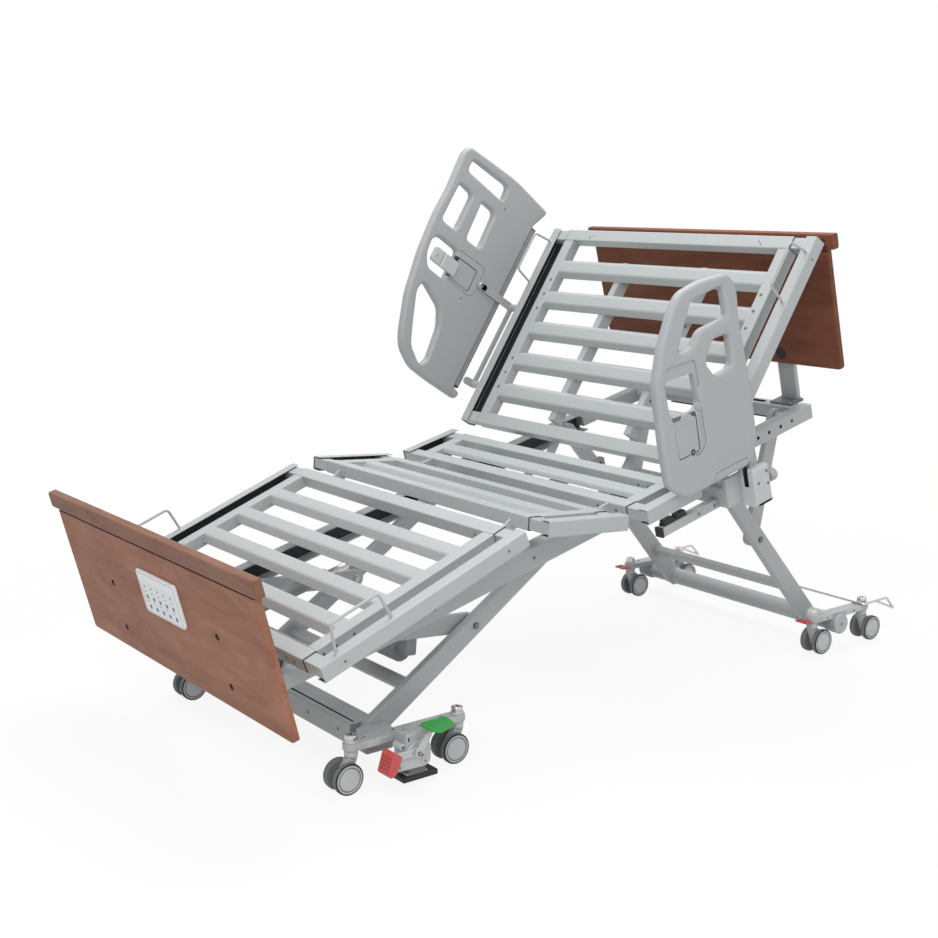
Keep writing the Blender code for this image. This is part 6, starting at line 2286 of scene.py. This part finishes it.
@dataclass
class LockUnit:
    """The foot lock: its housing, the two pedals, the floor pad, and the head end's pedals and bar.

    Attributes:
        axis: The pedals' pin, as (y, z).
    """

    axis: Point2 = (-0.548, 0.086)

    def build(self) -> None:
        """Makes the housing and everything that is stepped on."""
        self._housing()
        self._brake()
        self._steer()
        self._pad()
        self._head_pedals()
        self._bar()

    def _housing(self) -> None:
        """The lock's housing with its side plate, drum and the pedals' pin."""
        body = block((0.4103, 0.462), (-0.572, -0.503), (0.052, 0.130), "steel", 0.005, 4)
        # The well and the slit take painted shade on their faces.
        well = block((0.424, 0.459), (-0.562, -0.513), (0.020, 0.082), "inside", 0.0)
        slit = block((0.45, 0.47), (-0.566, -0.562), (0.112, 0.121), "inside", 0.0)
        shape = carved(body, well, slit)
        outline = [
            (-0.606, 0.047), (-0.520, 0.044), (-0.505, 0.052), (-0.503, 0.092), (-0.512, 0.103),
            (-0.530, 0.111), (-0.548, 0.109), (-0.566, 0.096), (-0.592, 0.070),
        ]
        side_plate = plate([rounded(outline, 0.008, 6)], "X", 0.460, 0.466, "post", 0.0012, 3)
        shape.join(side_plate)
        shape.join(hole_mark((0.466, -0.532, 0.087), TO_LEFT, 0.0048))
        shape.join(hole_mark((0.466, -0.592, 0.056), TO_LEFT, 0.0026))
        shape.join(hole_mark((0.466, -0.520, 0.056), TO_LEFT, 0.0026))
        shape.join(rod((0.464, *self.axis), (0.492, *self.axis), 0.005, "zinc", 28))
        # A disc of painted shade for the pin's socket.
        shape.join(lathe([(0.0036, 0.0), (0.0030, 0.0008)], (0.4915, *self.axis), TO_LEFT, "inside", 6))
        drum = [(0.0070, 0.0), (0.0085, 0.0010), (0.0085, 0.0320), (0.0070, 0.0330)]
        shape.join(lathe(drum, (0.425, -0.577, 0.099), TO_LEFT, "post", 36))
        shape.join(hole_mark((0.458, -0.577, 0.099), TO_LEFT, 0.0038))
        for y in (-0.560, -0.515):
            shape.join(screw((0.436, y, 0.130), UP, 0.0045, "zinc", 0.0025))
        piece("foot_lock_unit", shape, WORLD, "foot_base_body", ["foot_lock_unit"])

    def _brake(self) -> None:
        """The red brake pedal on its lever."""
        lever = plate(
            [stadium(self.axis, (-0.622, 0.086), 0.0105, 0.0070, 16)], "X", 0.4665, 0.4735, "post", 0.0015,
            3
        )
        # The bore's walls take painted shade.
        bore = rod((0.46, *self.axis), (0.50, *self.axis), 0.0054, "inside", 24, 0.0)
        outline = [
            (-0.656, 0.066), (-0.648, 0.060), (-0.634, 0.066), (-0.617, 0.104), (-0.633, 0.117),
            (-0.641, 0.114)
        ]
        blade = plate([rounded(outline, 0.004, 6)], "X", 0.4670, 0.5150, "red", 0.0018, 3)
        shape = carved(lever, bore).join(blade)
        start, end = Vector((-0.6548, 0.0680)), Vector((-0.6410, 0.1130))
        for k in range(5):
            spot = start.lerp(end, 0.12 + 0.185 * k)
            shape.join(block(
                (0.4705, 0.5115), (spot.x - 0.0010, spot.x + 0.0032),
                (spot.y - 0.0022, spot.y + 0.0022), "red", 0.0008
            ))
            line = start.lerp(end, 0.215 + 0.185 * k)
            if k < 4:
                shape.join(block(
                    (0.4720, 0.5100), (line.x - 0.0005, line.x + 0.0020),
                    (line.y - 0.0013, line.y + 0.0013), "red_shade", 0.0
                ))
        piece("brake_pedal", shape, WORLD, "brake_pedal_body", ["brake_pedal"])

    def _steer(self) -> None:
        """The green steer pedal on its lever."""
        lever = plate(
            [stadium(self.axis, (-0.512, 0.138), 0.0105, 0.0058, 16)], "X", 0.4765, 0.4835, "post", 0.0015,
            3
        )
        # The bore's walls take painted shade.
        bore = rod((0.46, *self.axis), (0.50, *self.axis), 0.0054, "inside", 24, 0.0)
        outline = [(0.4645, -0.536), (0.512, -0.540), (0.534, -0.524), (0.516, -0.470), (0.4645, -0.461)]
        tread = plate([rounded(outline, 0.010, 8)], "Z", 0.1450, 0.1530, "green", 0.0022, 4)
        shape = carved(lever, bore).join(tread)
        shape.join(block((0.4768, 0.4832), (-0.518, -0.500), (0.130, 0.148), "post", 0.0010))
        for y in (-0.526, -0.5165, -0.507, -0.4975, -0.488, -0.4785):
            shape.join(block((0.473, 0.5085), (y - 0.0012, y + 0.0012), (0.1522, 0.1530), "green", 0.0004, 1))
        piece("steer_pedal", shape, WORLD, "steer_pedal_body", ["steer_pedal"])

    @staticmethod
    def _pad() -> None:
        """The ribbed black pad under the housing."""
        shape = block((0.4165, 0.4630), (-0.580, -0.481), (0.012, 0.026), "black", 0.0035, 3)
        for k in range(9):
            y = -0.570 + k * 0.0100
            shape.join(
                block((0.4606, 0.4634), (y - 0.0026, y + 0.0026), (0.0140, 0.0240), "black", 0.0009, 2)
            )
        shape.join(block((0.4243, 0.4587), (-0.5617, -0.5133), (0.024, 0.068), "steel_dark", 0.002))
        shape.join(block((0.4265, 0.4565), (-0.567, -0.508), (0.0258, 0.0300), "steel", 0.001))
        piece("floor_pad", shape, WORLD, "floor_pad_body", ["floor_pad"])

    @staticmethod
    def _head_pedals() -> None:
        """The two red pedals at the head end."""
        for side, word in ((1, "left"), (-1, "right")):
            shape = block(across(side, 0.368, 0.412), (-0.028, 0.000), (-0.003, 0.003), "red", 0.0024, 4)
            shape.join(rod((side * 0.370, 0, 0), (side * 0.410, 0, 0), 0.0035, "zinc", 24))
            for k in range(4):
                y = -0.0235 + k * 0.0050
                shape.join(block(
                    across(side, 0.3725, 0.4075), (y - 0.0009, y + 0.0009), (0.0026, 0.0030), "red",
                    0.0002, 1
                ))
            place = WORLD @ moved(0, 0.9262, 0.106)
            piece(
                f"head_pedal_{word}", shape, place, f"head_pedal_{word}_body",
                [f"head_pedal_{word}"]
            )

    @staticmethod
    def _bar() -> None:
        """The chrome bar at the head end that joins the two head arms."""
        loop = [(0.4145, 0.0, 0.0), (0.4145, 0.112, 0.002), (0.4145, 0.150, -0.038), (0.4145, 0.062, -0.0005)]
        path = [(-x, y, z) for x, y, z in reversed(loop)] + loop
        shape = sweep(bent(path, 0.006, 8), 0.0038, "chrome", 20)
        piece(
            "head_lock_bar", shape, WORLD @ moved(0, 1.160, 0.1201), "head_lock_bar_body",
            ["head_lock_bar"]
        )


@dataclass
class Actuator:
    """A linear drive under the deck: its gear case, tube and rod.

    Attributes:
        name: The CAD node of the case; the rod's adds "_rod".
        rod_body: The body of the rod.
        x: Where it stands across the bed.
        case_s: The case along the frame.
        case_u: The case above the frame's datum.
        tube_s: The tube along the frame.
        rod_s: The rod along the frame.
        eye_s: The rod's eye block along the frame.
        u: Height of the tube's axis.
        half: Half width of the case.
        bore: Radius of the rod's bore.
    """

    name: str
    rod_body: str
    x: float
    case_s: Point2
    case_u: Point2
    tube_s: Point2
    rod_s: Point2
    eye_s: Point2
    u: float
    half: float = 0.034
    bore: float = 0.0103

    def build(self) -> None:
        """Makes the case with its tube, then the rod."""
        low, high = self.case_s
        case = block(
            (self.x - self.half, self.x + self.half), self.case_s, self.case_u, "steel_dark", 0.007, 4
        )
        # The bore's walls take painted shade.
        bore = rod(
            (self.x, self.tube_s[0] - 0.01, self.u), (self.x, self.tube_s[1] + 0.01, self.u), self.bore,
            "inside", 32, 0.0
        )
        long = self.tube_s[1] - self.tube_s[0]
        turn = [
            (0.0160, 0.0), (0.0175, 0.0015), (0.0175, long - 0.014), (0.0170, long - 0.0135),
            (0.0170, long - 0.012), (0.0175, long - 0.0115), (0.0175, long - 0.0015), (0.0160, long)
        ]
        tube = lathe(turn, (self.x, self.tube_s[0], self.u), TO_HEAD, "steel_shade", 44)
        shape = carved(case, bore).join(carved(tube, bore))
        for x in (self.x - 0.026, self.x + 0.026):
            for s in (low + 0.010, high - 0.010):
                shape.join(screw((x, s, self.case_u[1]), UP, 0.0035, "zinc", 0.0004))
        # A line of painted shade along the case's seam.
        seam = [(self.x - 0.0341, low + 0.006, self.u), (self.x - 0.0341, high - 0.006, self.u)]
        shape.join(sweep(seam, 0.0007, "inside", 6))
        piece(self.name, shape, FRAME, "frame_body", [self.name])
        rod_shape = rod(
            (self.x, self.rod_s[0], self.u), (self.x, self.rod_s[1], self.u), 0.0100, "chrome", 36
        )
        eye = block(
            (self.x - 0.012, self.x + 0.012), self.eye_s, (self.u - 0.013, self.u + 0.013), "steel_shade",
            0.0035, 3
        )
        middle = sum(self.eye_s) / 2
        # The eye's cross bore, its walls in painted shade.
        cross = rod(
            (self.x - 0.03, middle, self.u), (self.x + 0.03, middle, self.u), 0.0050, "inside", 24, 0.0
        )
        rod_shape.join(carved(eye, cross))
        piece(f"{self.name}_rod", rod_shape, FRAME, self.rod_body, [f"{self.name}_rod"])


def mechanics() -> None:
    """Builds the linkages, bases, casters, lock unit and drives."""
    Lift("head", (1.0373, 0.468), -0.1661, 0.325, 0.0177).build()
    Lift("foot", (-0.511, 0.460), 0.3452, 0.1185, 0.0257).build()
    Bases().build()
    for side, word in ((1, "left"), (-1, "right")):
        for letter, head, foot in (("a", HEAD_STEMS[0], FOOT_STEMS[0]), ("b", HEAD_STEMS[1], FOOT_STEMS[1])):
            Caster(f"head_caster_{word}_{letter}", side, head, 1).build()
            Caster(f"foot_caster_{word}_{letter}", side, foot, -1).build()
    LockUnit().build()
    Actuator(
        "back_actuator", "back_rod_body", 0.0, (0.2623, 0.352), (0.440, 0.480), (0.345, 0.475),
        (0.400, 0.555), (0.545, 0.582), 0.457,
    ).build()
    Actuator(
        "knee_actuator", "knee_rod_body", -0.100, (-0.6037, -0.540), (0.452, 0.488), (-0.548, -0.330),
        (-0.430, -0.250), (-0.262, -0.225), 0.462,
    ).build()


def main() -> None:
    """Builds the whole scene."""
    Stage().build()
    # The headboard's panel and cap take the wood darkened as painted shade.
    EndBoard("headboard_panel", 1.105, 0.608, 0.473, 1, wood="wood_head").build()
    EndBoard("footboard_panel", -0.823, 0.424, 0.525, -1).build()
    Keypad().build()
    near_rail().build()
    far_rail().build()
    RailSupports().build()
    deck()
    MainFrame().build()
    mechanics()


if __name__ == "__main__":
    main()
